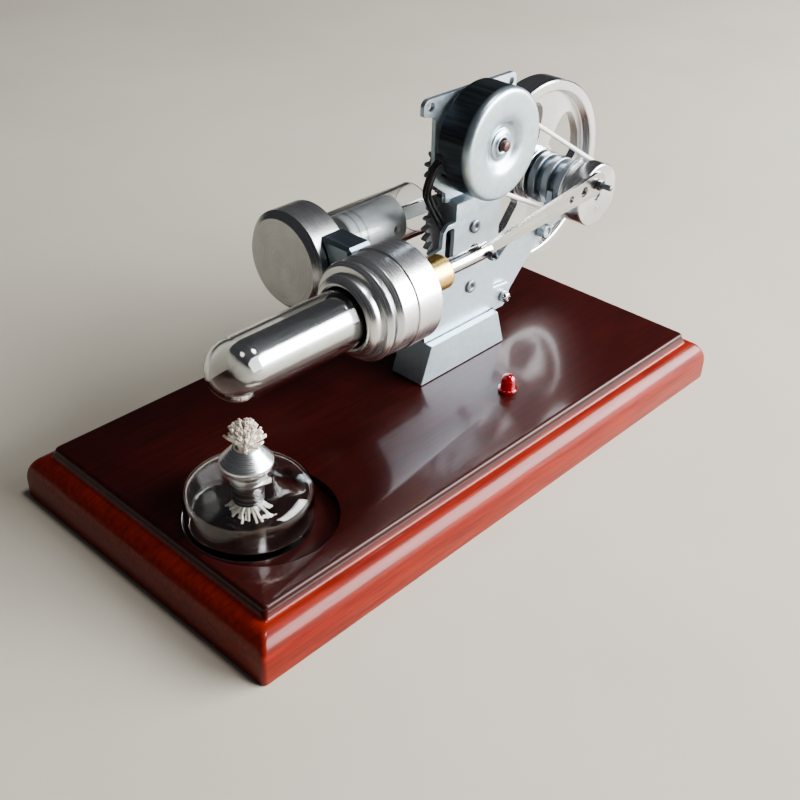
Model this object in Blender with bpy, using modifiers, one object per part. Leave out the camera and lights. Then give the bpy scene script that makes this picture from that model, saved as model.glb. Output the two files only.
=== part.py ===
"""Desk-top Stirling engine with a spirit lamp, a belt-driven generator and a signal lamp.

Frame: origin in the middle of the base's underside, +X along the base towards the flywheel end,
-Y towards the side where the displacer works, +Z up.  Metres.
"""
import math

import bmesh
import bpy
from mathutils import Quaternion, Vector

MM = 0.001
GAP = 0.3 * MM                      # clearance between neighbouring pieces
MERGE = 0.00001                     # merge distance of turned shapes

# Driving dimensions
BASE_LENGTH = 216 * MM
BASE_WIDTH = 112 * MM
BORDER_HEIGHT = 15.6 * MM           # outer moulding of the base
PANEL_LENGTH = 200 * MM
PANEL_WIDTH = 96 * MM
TOP = 18.5 * MM                     # height of the raised panel
AXIS_Z = TOP + 47.3 * MM            # height of both cylinders and of the crankshaft
HOT_Y = -15 * MM                    # displacer axis
POWER_Y = 22 * MM                   # power piston axis
CRANK_X = 84.3 * MM                 # crankshaft axis
THROW = 6.3 * MM                    # displacer crank
POWER_THROW = 5.5 * MM
CRANK_ANGLE = math.radians(120)     # displacer crank at rest, from +X towards +Z
POWER_ANGLE = CRANK_ANGLE + math.radians(90)
TUBE_R = 8.8 * MM
TUBE_WALL = 1.2 * MM
FLYWHEEL_R = 33.5 * MM
FLYWHEEL_Y = (10 * MM, 19.5 * MM)
CAN_R = 17.4 * MM
GEN_X, GEN_Z = 29.1 * MM, TOP + 79.3 * MM
LAMP_X, LAMP_Y = -78.5 * MM, -17 * MM
LAMP_R = 18.6 * MM
RECESS_X, RECESS_Y = -76 * MM, -19.2 * MM
RECESS_R = 22.3 * MM
RECESS_DEPTH = 3 * MM
PLATE_Y = (-3.5 * MM, -2.0 * MM)    # lower part of the bracket plate
REAR_Y = (-0.5 * MM, 1.0 * MM)      # its upper part, behind the generator
BELT_R = 0.75 * MM
CRANK_GROOVE = (-8.0 * MM, 10.3 * MM)      # y of the belt and its radius on the crank wheel
GEN_GROOVE = (-2.45 * MM, 13.0 * MM)       # the same on the generator's pulley
COARSE = 1.1 * MM                   # module of the coarse teeth
FINE = 0.6 * MM                     # module of the fine teeth
FOOT_SCREWS = (("left", 15 * MM), ("right", 39 * MM))
CLEVIS_X = 21.6 * MM
CON_ROD_Y = (-16.0 * MM, -14.8 * MM)
PORT_X, PORT_R = -20 * MM, 1.5 * MM        # gas passage between the cylinders
WRIST_X = 13 * MM
WINDOWS = 4                         # openings in the flywheel's web
WINDOW_R = (11.4 * MM, 26.5 * MM)   # their inner and outer radius
WINDOW_HALF = math.radians(28.5)
FIRST_WINDOW = math.radians(23.5)
UPPER_RIVET = (31.1 * MM, TOP + 48.95 * MM)
LOWER_SCREW = (31.2 * MM, TOP + 27.2 * MM)
TAB_SCREW = (50 * MM, TOP + 16.6 * MM)
ARM_SCREW = (71 * MM, TOP + 34.5 * MM)
ARM_Y = (-1.6 * MM, 0.7 * MM)
NECK_R = 6.9 * MM                   # cradle of the arm round the bearing housing's neck
BLOCK_SCREWS = (42.5, 50.5)         # heights of the screws into the link block
COUNTER_AXIS = (23.9 * MM, TOP + 69.15 * MM)
GEAR_TEETH = (10, 28, 13, 26)       # generator pinion, counter wheel, its pinion, idler
LEAD_R = 0.6 * MM
LEAD_SPREAD = 0.95 * MM             # distance of each lead from the middle of the three
LEAD_HOLE = (15, 10.6)              # where they go down into the base, in mm
LEAD_ROUTE = ((12.4, -3.1, 75.4), (11.4, -2.0, 73.0), (10.8, -0.9, 69.0), (11.2, 0.4, 64.6),
              (13.4, 1.4, 61.0), (16.2, 1.6, 57.0), (18.8, 1.3, 53.0), (21.0, 0.8, 49.0),
              (22.6, 0.5, 45.0), (22.8, 0.4, 41.0), (21.6, 0.5, 36.0), (19.8, 1.2, 30.0),
              (18.0, 3.6, 23.5), (16.6, 7.2, 17.0), (15.4, 9.8, 10.4), (15.0, 10.6, 4.0),
              (15.0, 10.6, -4.0), (15.0, 10.6, -13.0))


def named_collection(name):
    collection = bpy.data.collections.new(name)
    bpy.context.scene.collection.children.link(collection)
    return collection


for old in list(bpy.data.objects):
    bpy.data.objects.remove(old, do_unlink=True)
ENGINE = named_collection("stirling_engine")
CUTTERS = named_collection("cutters")


def material(name, colour, rough, metal=0.0, alpha=1.0):
    mat = bpy.data.materials.get(name)
    if mat is None:
        mat = bpy.data.materials.new(name)
        mat.use_nodes = True
        shader = mat.node_tree.nodes["Principled BSDF"]
        shader.inputs["Base Color"].default_value = (*colour, 1.0)
        shader.inputs["Roughness"].default_value = rough
        shader.inputs["Metallic"].default_value = metal
        shader.inputs["Alpha"].default_value = alpha
    return mat


WOOD = material("lacquered_wood", (0.17, 0.02, 0.012), 0.15)
GLASS = material("clear_glass", (0.9, 0.94, 0.93), 0.03, alpha=0.25)
ALUMINIUM = material("turned_aluminium", (0.72, 0.74, 0.76), 0.3, 1.0)
STEEL = material("polished_steel", (0.62, 0.64, 0.66), 0.18, 1.0)
DARK_STEEL = material("dark_steel", (0.08, 0.08, 0.09), 0.35, 1.0)
ZINC = material("zinc_plate", (0.55, 0.63, 0.68), 0.4, 0.8)
CAN_GREY = material("generator_steel", (0.2, 0.23, 0.25), 0.4, 0.8)
BRASS = material("brass", (0.78, 0.55, 0.2), 0.25, 1.0)
COPPER = material("copper_coil", (0.6, 0.25, 0.12), 0.4, 1.0)
MAGNET = material("ferrite", (0.06, 0.06, 0.07), 0.6)
COTTON = material("cotton", (0.85, 0.78, 0.66), 0.9)
GREY_PLASTIC = material("grey_plastic", (0.25, 0.25, 0.26), 0.5)
BLACK_PVC = material("black_pvc", (0.02, 0.02, 0.02), 0.4)
WHITE_RUBBER = material("white_rubber", (0.85, 0.86, 0.84), 0.5)
RED_LENS = material("red_lens", (0.6, 0.01, 0.01), 0.08, alpha=0.7)


def add(name, mesh, mat, collection=ENGINE):
    """Put a mesh or a curve into the scene as a named object."""
    obj = bpy.data.objects.new(name, mesh)
    collection.objects.link(obj)
    if mat is not None:
        obj.data.materials.append(mat)
    return obj


def point(obj, axis, place):
    """Turn an object that was made along +Z to an axis and put it in its place."""
    obj.rotation_mode = "QUATERNION"
    obj.rotation_quaternion = Vector((0, 0, 1)).rotation_difference(Vector(axis))
    obj.location = place
    return obj


AXES = {"x": (1, 0, 0), "-y": (0, -1, 0), "z": (0, 0, 1)}


def turned(name, profile, place, axis, mat, steps=24, closed=False, collection=ENGINE):
    """Turn a profile of (radius, height) points about an axis.

    The profile runs down the outer side, from the top of the axis to its bottom.  A closed
    profile is a ring: outer side down, inner side up.
    """
    mesh = bpy.data.meshes.new(name)
    edges = [(i, i + 1) for i in range(len(profile) - 1)]
    if closed:
        edges.append((len(profile) - 1, 0))
    mesh.from_pydata([(r, 0, h) for r, h in profile], edges, [])
    obj = point(add(name, mesh, mat, collection), AXES[axis], place)
    screw = obj.modifiers.new("turn", "SCREW")
    screw.angle = 2 * math.pi
    screw.steps = steps
    screw.render_steps = steps
    screw.use_merge_vertices = True
    screw.merge_threshold = MERGE
    screw.use_smooth_shade = True
    return obj


def rod(name, radius, low, high, place, axis, mat, steps=16, chamfer=0.0, collection=ENGINE):
    """A plain turned rod between two heights on its axis."""
    profile = [(0, high), (radius - chamfer, high), (radius, high - chamfer),
               (radius, low + chamfer), (radius - chamfer, low), (0, low)]
    if chamfer == 0:
        profile = [(0, high), (radius, high), (radius, low), (0, low)]
    return turned(name, profile, place, axis, mat, steps, collection=collection)


def ring(name, outer, inner, low, high, place, axis, mat, steps=24, collection=ENGINE):
    profile = [(outer, high), (outer, low), (inner, low), (inner, high)]
    return turned(name, profile, place, axis, mat, steps, closed=True, collection=collection)


def cut(obj, cutter, operation="DIFFERENCE"):
    """Cut a piece with a helper object that stays hidden."""
    cutter.hide_render = True
    cutter.display_type = "WIRE"
    boolean = obj.modifiers.new("cut", "BOOLEAN")
    boolean.operation = operation
    boolean.solver = "EXACT"
    boolean.object = cutter
    return obj


def drill(obj, name, radius, low, high, place, axis, steps=16):
    return cut(obj, rod(name, radius, low, high, place, axis, None, steps, collection=CUTTERS))


def block(name, low, high, mat, bevel=0.0, segments=2, collection=ENGINE):
    """A box between two corners, with its edges rounded."""
    low, high = Vector(low), Vector(high)
    mesh = bpy.data.meshes.new(name)
    bm = bmesh.new()
    bmesh.ops.create_cube(bm, size=1.0)
    bmesh.ops.scale(bm, vec=high - low, verts=bm.verts)
    bm.to_mesh(mesh)
    bm.free()
    obj = add(name, mesh, mat, collection)
    obj.location = (low + high) / 2
    if bevel:
        rounding = obj.modifiers.new("rounding", "BEVEL")
        rounding.width = bevel
        rounding.segments = segments
    return obj


def circle(centre, radius, count=16, start=0.0):
    turn = 2 * math.pi / count
    return [(centre[0] + radius * math.cos(start + i * turn),
             centre[1] + radius * math.sin(start + i * turn)) for i in range(count)]


def rounded(corners, count=3):
    """Round an outline: each corner is (x, z, radius)."""
    outline = []
    for i, (x, z, radius) in enumerate(corners):
        here = Vector((x, z))
        if radius == 0:
            outline.append((x, z))
            continue
        back = (Vector(corners[i - 1][:2]) - here).normalized()
        ahead = (Vector(corners[(i + 1) % len(corners)][:2]) - here).normalized()
        half = back.angle(ahead) / 2
        centre = here + (back + ahead).normalized() * radius / math.sin(half)
        first = here + back * radius / math.tan(half) - centre
        last = here + ahead * radius / math.tan(half) - centre
        for step in range(count + 1):
            spoke = first.lerp(last, step / count).normalized() * radius
            outline.append(tuple(centre + spoke))
    return outline


def sheet(name, outlines, y_range, mat, collection=ENGINE):
    """A flat plate in the XZ plane: the first outline is its edge, the others its holes."""
    curve = bpy.data.curves.new(name, "CURVE")
    curve.dimensions = "2D"
    curve.fill_mode = "BOTH"
    curve.extrude = (y_range[1] - y_range[0]) / 2
    for outline in outlines:
        spline = curve.splines.new("POLY")
        spline.points.add(len(outline) - 1)
        for vertex, (x, z) in zip(spline.points, outline):
            vertex.co = (x, z, 0, 1)
        spline.use_cyclic_u = True
    flat = bpy.data.objects.new(name + "_outline", curve)
    ENGINE.objects.link(flat)
    flat.rotation_euler = (math.pi / 2, 0, 0)
    flat.location = (0, sum(y_range) / 2, 0)
    return solid_from(flat, name, mat, collection)


def solid_from(curve_object, name, mat, collection=ENGINE):
    """Replace a curve object by a mesh with welded caps."""
    bpy.context.view_layer.update()
    depsgraph = bpy.context.evaluated_depsgraph_get()
    mesh = bpy.data.meshes.new_from_object(curve_object.evaluated_get(depsgraph))
    bm = bmesh.new()
    bm.from_mesh(mesh)
    bmesh.ops.remove_doubles(bm, verts=bm.verts, dist=MERGE)
    bm.to_mesh(mesh)
    bm.free()
    obj = add(name, mesh, mat, collection)
    obj.matrix_world = curve_object.matrix_world
    bpy.data.objects.remove(curve_object, do_unlink=True)
    return obj


def wire(name, route, radius, mat, cyclic=False, resolution=1):
    """A round wire through a list of points."""
    curve = bpy.data.curves.new(name, "CURVE")
    curve.dimensions = "3D"
    curve.bevel_depth = radius
    curve.bevel_resolution = resolution
    curve.use_fill_caps = not cyclic
    spline = curve.splines.new("POLY")
    spline.points.add(len(route) - 1)
    for vertex, place in zip(spline.points, route):
        vertex.co = (*place, 1)
    spline.use_cyclic_u = cyclic
    return solid_from(add(name + "_path", curve, None), name, mat)


def smooth_route(knots, count):
    """Points of a smooth curve through the knots (Catmull-Rom)."""
    knots = [Vector(knot) for knot in knots]
    padded = [2 * knots[0] - knots[1], *knots, 2 * knots[-1] - knots[-2]]
    route = []
    for i in range(len(knots) - 1):
        a, b, c, d = padded[i:i + 4]
        for step in range(count):
            t = step / count
            route.append(0.5 * (2 * b + (c - a) * t + (2 * a - 5 * b + 4 * c - d) * t ** 2
                                + (3 * b - a - 3 * c + d) * t ** 3))
    route.append(knots[-1])
    return route


def gear_outline(centre, teeth, module, phase):
    """Straight-flanked teeth with backlash; phase is the angle of one tooth's middle."""
    pitch_radius = teeth * module / 2
    root, tip = pitch_radius - 1.1 * module, pitch_radius + 0.75 * module
    pitch = 2 * math.pi / teeth
    outline = []
    for tooth in range(teeth):
        middle = phase + tooth * pitch
        for radius, share in ((root, -0.33), (tip, -0.09), (tip, 0.09), (root, 0.33)):
            angle = middle + share * pitch
            outline.append((centre[0] + radius * math.cos(angle),
                            centre[1] + radius * math.sin(angle)))
    return outline


def at(x, y, z):
    """A point in millimetres, its height measured from the raised panel."""
    return (x * MM, y * MM, TOP + z * MM)


def crank_point(angle, throw):
    return CRANK_X + throw * math.cos(angle), AXIS_Z + throw * math.sin(angle)


def make_base():
    half_l, half_w = BASE_LENGTH / 2, BASE_WIDTH / 2
    base = block("base", (-half_l, -half_w, 0), (half_l, half_w, BORDER_HEIGHT), WOOD,
                 4 * MM, 2)
    panel = block("panel_form", (-PANEL_LENGTH / 2, -PANEL_WIDTH / 2, BORDER_HEIGHT / 2),
                  (PANEL_LENGTH / 2, PANEL_WIDTH / 2, TOP), None, 0.8 * MM, 1, CUTTERS)
    cut(base, panel, "UNION")
    drill(base, "recess_form", RECESS_R, -RECESS_DEPTH, 5 * MM, (RECESS_X, RECESS_Y, TOP),
          "z", 28)
    drill(base, "led_hole_form", 2.9 * MM, -9 * MM, 5 * MM, at(24.5, -28, 0), "z")
    drill(base, "wire_hole_form", 3 * MM, -30 * MM, 5 * MM, at(*LEAD_HOLE, 0), "z")
    for side, x in FOOT_SCREWS:
        drill(base, f"{side}_screw_form", 1.9 * MM, -5 * MM, 30 * MM, (x, 0.25 * MM, 0), "z", 16)
        drill(base, f"{side}_head_form", 4 * MM, -5 * MM, 4 * MM, (x, 0.25 * MM, 0), "z")
        screw_profile = [(0, 24 * MM), (1.3 * MM, 24 * MM), (1.5 * MM, 23.8 * MM),
                         (1.5 * MM, 3.7 * MM), (3.4 * MM, 3.7 * MM), (3.4 * MM, 1.2 * MM),
                         (2.9 * MM, 0.8 * MM), (0, 0.8 * MM)]
        turned(f"foot_screw_{side}", screw_profile, (x, 0.25 * MM, 0), "z", STEEL, 12)


def make_lamp():
    floor = TOP - RECESS_DEPTH + GAP
    jar = [(0, 2.4), (16.4, 2.4), (17.3, 3.4), (17.3, 10.0), (16.8, 11.8), (15.3, 13.5),
           (12.0, 15.2), (7.6, 16.6), (5.3, 18.4), (5.3, 20.3), (6.6, 20.3), (6.6, 19.0),
           (8.4, 17.6), (12.5, 16.4), (16.2, 14.6), (18.0, 12.6), (18.6, 10.2), (18.6, 1.0),
           (17.8, 0), (0, 0)]
    profile = [(r * MM, h * MM) for r, h in jar]
    turned("lamp_jar", profile, (LAMP_X, LAMP_Y, floor), "z", GLASS, 22)
    holder = [(3.8, 23.8), (7.6, 19.4), (7.6, 18.0), (4.7, 18.0), (4.7, 5.5), (2.7, 5.5),
              (2.7, 23.8)]
    profile = [(r * MM, h * MM) for r, h in holder]
    turned("wick_holder", profile, (LAMP_X, LAMP_Y, TOP), "z", ALUMINIUM, 20, closed=True)
    wick = [(0, 31.8), (1.6, 31.4), (4.6, 29.6), (5.4, 27.6), (4.4, 25.6), (2.3, 24.4),
            (2.3, 5.2), (4.6, 3.0), (6.6, 1.2), (6.4, 0.4), (0, 0.4)]
    profile = [(r * MM, h * MM) for r, h in wick]
    turned("wick", profile, (LAMP_X, LAMP_Y, TOP), "z", COTTON, 16)


def make_hot_end():
    """Glass tube, displacer, its rod and clevis, cooler and gland, all on one axis."""
    axis = (0, HOT_Y, AXIS_Z)
    centre, mouth = -78.2 * MM, -30.6 * MM
    inner = TUBE_R - TUBE_WALL
    outside = [(TUBE_R * math.sin(a), centre - TUBE_R * math.cos(a))
               for a in (math.radians(15 * i) for i in range(6, -1, -1))]
    inside = [(inner * math.sin(a), centre - inner * math.cos(a))
              for a in (math.radians(15 * i) for i in range(7))]
    profile = [*inside, (inner, mouth), (TUBE_R, mouth), *outside]
    turned("hot_tube", profile, axis, "x", GLASS, 20)

    displacer = [(0, -31.5), (6.0, -31.5), (6.6, -32.1), (6.6, -74.6), (6.1, -76.6),
                 (4.9, -78.1), (3.0, -79.0), (0, -79.2)]
    profile = [(r * MM, h * MM) for r, h in displacer]
    turned("displacer", profile, axis, "x", STEEL, 14)
    rod("displacer_rod", 1.5 * MM, -31.2 * MM, -6.3 * MM, axis, "x", STEEL, 12)
    clevis = rod("rod_clevis", 2.6 * MM, -6 * MM, 24 * MM, axis, "x", STEEL, 16, 0.3 * MM)
    slot_y = (CON_ROD_Y[0] - GAP, CON_ROD_Y[1] + GAP)
    cut(clevis, block("clevis_slot_form", (14 * MM, slot_y[0], AXIS_Z - 5 * MM),
                      (30 * MM, slot_y[1], AXIS_Z + 5 * MM), None, collection=CUTTERS))
    drill(clevis, "clevis_hole_form", 0.9 * MM, -5 * MM, 5 * MM,
          (CLEVIS_X, HOT_Y, AXIS_Z), "-y", 12)
    screw = [(0, 6.0), (0.6, 6.0), (0.6, -2.9), (1.5, -2.9), (1.5, -4.1), (0, -4.1)]
    profile = [(r * MM, h * MM) for r, h in screw]
    turned("clevis_screw", profile, (CLEVIS_X, HOT_Y, AXIS_Z), "-y", DARK_STEEL, 12)
    ring("clevis_nut", 1.7 * MM, 0.9 * MM, 3.0 * MM, 4.6 * MM, (CLEVIS_X, HOT_Y, AXIS_Z), "-y",
         DARK_STEEL, 6)

    cooler = [(15.3, -14.8), (15.6, -15.1), (15.6, -24.5), (15.15, -24.8), (15.1, -30.4),
              (14.1, -32.2), (12.2, -32.4), (12.2, -34.0), (15.1, -34.2), (14.1, -36.2),
              (12.3, -36.4), (12.1, -38.0), (11.4, -39.3), (10.2, -40.1), (9.2, -39.7),
              (9.2, -30.3), (7.6, -30.3), (7.6, -17.5), (4.3, -17.5), (4.3, -14.8)]
    profile = [(r * MM, h * MM) for r, h in cooler]
    body = turned("cooler", profile, axis, "x", ALUMINIUM, 22, closed=True)
    drill(body, "cooler_port_form", PORT_R, -16.5 * MM, -6 * MM, (PORT_X, HOT_Y, AXIS_Z), "-y",
          12)
    gland = [(4.9, 2.2), (5.6, 1.4), (5.6, -14.4), (4.0, -14.4), (4.0, -17.2), (2.9, -17.2),
             (2.9, 2.2)]
    profile = [(r * MM, h * MM) for r, h in gland]
    turned("gland_bush", profile, axis, "x", BRASS, 18, closed=True)


def make_power_end():
    axis = (0, POWER_Y, AXIS_Z)
    cap = [(0, -25.0), (9.5, -25.0), (9.5, -16.0), (14.6, -16.0), (16.0, -16.6),
           (16.0, -27.4), (13.9, -29.5), (0, -29.5)]
    profile = [(r * MM, h * MM) for r, h in cap]
    body = turned("power_end_cap", profile, axis, "x", ALUMINIUM, 22)
    drill(body, "cap_port_form", PORT_R, 8 * MM, 20 * MM, (PORT_X, POWER_Y, AXIS_Z), "-y", 12)
    ring("power_tube", 9.15 * MM, 7.95 * MM, -24.6 * MM, 29 * MM, axis, "x", GLASS)

    piston = [(0, 4.0), (5.4, 4.0), (5.4, 18.0), (7.0, 18.0), (7.6, 17.4), (7.6, 0.6),
              (6.9, 0.4), (6.9, -0.8), (7.6, -1.0), (7.6, -2.4), (6.9, -2.6), (6.9, -3.8),
              (7.6, -4.0), (7.6, -5.6), (7.0, -6.2), (0, -6.2)]
    profile = [(r * MM, h * MM) for r, h in piston]
    body = turned("power_piston", profile, axis, "x", ALUMINIUM, 20)
    drill(body, "wrist_hole_form", 1.3 * MM, -12 * MM, 12 * MM, (WRIST_X, POWER_Y, AXIS_Z),
          "-y", 12)
    rod("wrist_pin", 1.0 * MM, -7.0 * MM, 7.0 * MM, (WRIST_X, POWER_Y, AXIS_Z), "-y", STEEL, 12)

    crank = crank_point(POWER_ANGLE, POWER_THROW)
    y_range = (POWER_Y - 0.7 * MM, POWER_Y + 0.7 * MM)
    flat_rod("power_con_rod", (WRIST_X, AXIS_Z), crank, 2.4 * MM, 2.6 * MM, y_range, 1.3 * MM,
             1.3 * MM, ())
    screw = [(0, 1.3), (1.0, 1.3), (1.0, -1.0), (2.0, -1.0), (2.0, -2.2), (0, -2.2)]
    profile = [(r * MM, h * MM) for r, h in screw]
    turned("power_crank_screw", profile, (crank[0], POWER_Y, crank[1]), "-y", DARK_STEEL, 12)


def flat_rod(name, small, big, small_r, big_r, y_range, small_hole, big_hole, extra):
    """A tapered flat bar with round ends and a hole in each; extra holes are (share, radius)."""
    small, big = Vector(small), Vector(big)
    along = (big - small).normalized()
    heading = math.atan2(along.y, along.x)
    outline = []
    for centre, radius, start in ((big, big_r, -90), (small, small_r, 90)):
        for step in range(9):
            angle = heading + math.radians(start + 22.5 * step)
            outline.append((centre.x + radius * math.cos(angle),
                            centre.y + radius * math.sin(angle)))
    holes = [circle(small, small_hole, 12), circle(big, big_hole, 12)]
    holes += [circle(small.lerp(big, share), radius, 12) for share, radius in extra]
    return sheet(name, [outline, *holes], y_range, STEEL)


def make_displacer_con_rod():
    crank = crank_point(CRANK_ANGLE, THROW)
    flat_rod("displacer_con_rod", (CLEVIS_X, AXIS_Z), crank, 1.6 * MM, 4.2 * MM, CON_ROD_Y,
             1.0 * MM, 1.3 * MM, ((0.75, 1.4 * MM), (0.875, 1.8 * MM)))
    place = (crank[0], HOT_Y, crank[1])
    screw = [(0, 6.6), (0.8, 6.6), (1.0, 6.3), (1.0, -0.2), (0, -0.2)]
    profile = [(r * MM, h * MM) for r, h in screw]
    turned("crank_screw", profile, place, "-y", DARK_STEEL, 12)
    ring("crank_nut", 1.9 * MM, 1.3 * MM, 1.3 * MM, 2.9 * MM, place, "-y", DARK_STEEL, 6)


def make_crankshaft():
    hub = (CRANK_X, 0, AXIS_Z)
    rod("crankshaft", 1.5 * MM, -20.2 * MM, 14.2 * MM, hub, "-y", STEEL, 16, 0.2 * MM)
    groove_y, belt_radius = CRANK_GROOVE
    middle, bottom = -groove_y / MM, (belt_radius - BELT_R - GAP) / MM
    wheel = [(10.6, 14.5), (11.0, 14.1), (11.0, middle + 1.1), (bottom, middle + 1.1),
             (bottom, middle - 1.1), (10.8, middle - 1.6), (10.8, 5.5), (4, 5.2), (1.8, 5.2),
             (1.8, 14.5)]
    profile = [(r * MM, h * MM) for r, h in wheel]
    body = turned("crank_wheel", profile, hub, "-y", ALUMINIUM, 22, closed=True)
    crank = crank_point(CRANK_ANGLE, THROW)
    drill(body, "crank_pin_form", 1.3 * MM, 12 * MM, 20 * MM, (crank[0], 0, crank[1]), "-y", 12)

    front, rear = (value / MM for value in FLYWHEEL_Y)
    rim = FLYWHEEL_R / MM
    wheel = [(rim - 0.5, -front), (rim, -front - 0.5), (rim, -rear + 0.5), (rim - 0.5, -rear),
             (29.8, -rear), (29.4, -16.6), (9.5, -16.6), (9.5, -19.8), (1.8, -19.8),
             (1.8, -front - 0.6), (9.5, -front - 0.6), (9.5, -13.4), (29.4, -13.4),
             (29.8, -front)]
    profile = [(r * MM, h * MM) for r, h in wheel]
    body = turned("flywheel", profile, hub, "-y", ALUMINIUM, 32, closed=True)
    for number in range(WINDOWS):
        cut(body, window(f"window_form_{number}", FIRST_WINDOW + 2 * math.pi / WINDOWS * number))
    crank = crank_point(POWER_ANGLE, POWER_THROW)
    drill(body, "power_pin_form", 1.3 * MM, -25 * MM, -18 * MM, (crank[0], 0, crank[1]), "-y",
          12)


def window(name, middle):
    """A curved opening between two radii about the crankshaft, with rounded corners."""
    corners = []
    for radius, sign, rounding in ((WINDOW_R[1], 1, 5 * MM), (WINDOW_R[0], -1, 2.4 * MM)):
        reach = WINDOW_HALF - 1.2 * rounding / radius
        angles = [-WINDOW_HALF, -reach, -reach / 2, 0, reach / 2, reach, WINDOW_HALF]
        for angle in angles:
            spoke = middle + sign * angle
            corners.append((CRANK_X + radius * math.cos(spoke),
                            AXIS_Z + radius * math.sin(spoke),
                            rounding if abs(angle) == WINDOW_HALF else 0))
    return sheet(name, [rounded(corners)], (0, 30 * MM), None, CUTTERS)


def make_bearings():
    hub = (CRANK_X, 0, AXIS_Z)
    housing = [(9.0, 4.8), (9.0, 1.9), (6.6, 1.9), (6.6, -1.0), (9.0, -1.0), (9.0, -4.0),
               (6.6, -4.0), (6.6, -6.4), (9.0, -6.4), (9.0, -9.4), (4.3, -9.4), (4.3, -6.8),
               (2.6, -6.8), (2.6, 2.2), (4.3, 2.2), (4.3, 4.8)]
    profile = [(r * MM, h * MM) for r, h in housing]
    turned("bearing_housing", profile, hub, "-y", ZINC, 20, closed=True)
    ring("front_bearing", 4.0 * MM, 1.8 * MM, 2.5 * MM, 4.8 * MM, hub, "-y", STEEL, 12)
    ring("rear_bearing", 4.0 * MM, 1.8 * MM, -9.4 * MM, -7.1 * MM, hub, "-y", STEEL, 12)


def make_bracket():
    outline = [(x * MM, z * MM) for x, z in ((5.4, 0.3), (48.8, 0.3), (44.2, 13.6), (9.8, 13.6))]
    foot = sheet("foot_block", [[(x, TOP + z) for x, z in outline]], (-6.5 * MM, 7 * MM), ZINC)
    cut(foot, block("foot_slot_form", at(11.7, -3.8, 5.5), at(42.3, -1.7, 20), None,
                    collection=CUTTERS))
    for side, x in FOOT_SCREWS:
        drill(foot, f"{side}_thread_form", 1.8 * MM, TOP - 2 * MM, 24.5 * MM,
              (x, 0.25 * MM, 0), "z", 16)

    lower = [(-13.9, 20, 1), (9.0, 16, 0), (9.6, 14, 0), (12, 14, 0), (12, 5.8, 0), (42, 5.8, 0),
             (42, 14, 0), (44.9, 14, 0), (45.3, 12.5, 0), (50.5, 12.4, 1), (53.4, 14.6, 1),
             (53.4, 20.6, 0.6), (44, 21.4, 0), (44, 54.5, 0), (36, 58.9, 0), (21.5, 58.9, 0),
             (21.7, 53.3, 0.5), (17.8, 53.2, 1.6), (15.8, 51.2, 1), (15.4, 46, 0),
             (-13.9, 40, 1)]
    slot = rounded([(x * MM, TOP + z * MM, 1.4 * MM) for x, z in
                    ((17.0, 38.5), (21.2, 38.5), (21.2, 51.6), (17.0, 51.6))])
    holes = [circle(UPPER_RIVET, 1.8 * MM, 16), circle(LOWER_SCREW, 1.8 * MM, 16),
             circle(TAB_SCREW, 1.3 * MM, 16), slot]
    outline = rounded([(x * MM, TOP + z * MM, r * MM) for x, z, r in lower])
    plate = sheet("bracket_plate", [outline, *holes], PLATE_Y, ZINC)
    upper = [(13.2, 67, 0), (19.2, 62.6, 0), (19.4, 59.4, 0), (44, 59.4, 0), (46.2, 62, 0),
             (46.2, 84, 0), (50.2, 88.4, 0.8), (50.2, 94.3, 2.2), (7.1, 94.4, 2.2),
             (7.1, 89.6, 0.6), (12.5, 88.3, 0)]
    holes = [circle((x * MM, TOP + z * MM), 1.4 * MM, 16) for x, z in ((10.4, 91.9), (47.6, 91.4))]
    holes += [circle((GEN_X, GEN_Z), 2.2 * MM, 16), circle(COUNTER_AXIS, 1.8 * MM, 16)]
    outline = rounded([(x * MM, TOP + z * MM, r * MM) for x, z, r in upper])
    cut(plate, sheet("upper_form", [outline, *holes], REAR_Y, None, CUTTERS), "UNION")
    inset = 0.1 * MM                # keeps the joined faces of the bends from lying in one plane
    joggle = block("joggle_form", (21.5 * MM + inset, PLATE_Y[0] + inset, TOP + 58.0 * MM),
                   (34.5 * MM, REAR_Y[1] - inset, TOP + 60.0 * MM), None, collection=CUTTERS)
    joggle.rotation_euler = (math.radians(16), 0, 0)
    cut(plate, joggle, "UNION")
    cut(plate, block("flange_form", (-14.4 * MM, PLATE_Y[0] + inset, TOP + 20 * MM + inset),
                     (-12.9 * MM, 12.4 * MM, TOP + 53 * MM), None, collection=CUTTERS), "UNION")
    for height in BLOCK_SCREWS:
        drill(plate, f"flange_hole_form_{height:.0f}", 1.4 * MM, -17 * MM, -11 * MM,
              (0, 5 * MM, TOP + height * MM), "x", 12)

    arm = [(75.8, 42.4, 0), (66.0, 38.2, 6), (56.0, 37.2, 6), (47.5, 30.5, 3), (34, 26, 2),
           (34, 14.4, 2), (54.5, 14.4, 2), (63.2, 23.8, 6), (72.5, 31.8, 6), (82, 34.6, 4),
           (92.8, 39.8, 0)]
    outline = [(92.8 * MM, AXIS_Z - 0.5 * MM)]
    outline += [(CRANK_X + NECK_R * math.cos(a), AXIS_Z + NECK_R * math.sin(a))
                for a in (math.radians(-4 - 17.2 * i) for i in range(11))]
    outline += [(75.8 * MM, AXIS_Z - 0.5 * MM)]
    outline += rounded([(x * MM, TOP + z * MM, r * MM) for x, z, r in arm])
    holes = [circle(TAB_SCREW, 1.3 * MM, 16), circle(ARM_SCREW, 1.3 * MM, 16)]
    sheet("bearing_arm", [outline, *holes], ARM_Y, ZINC)


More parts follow.
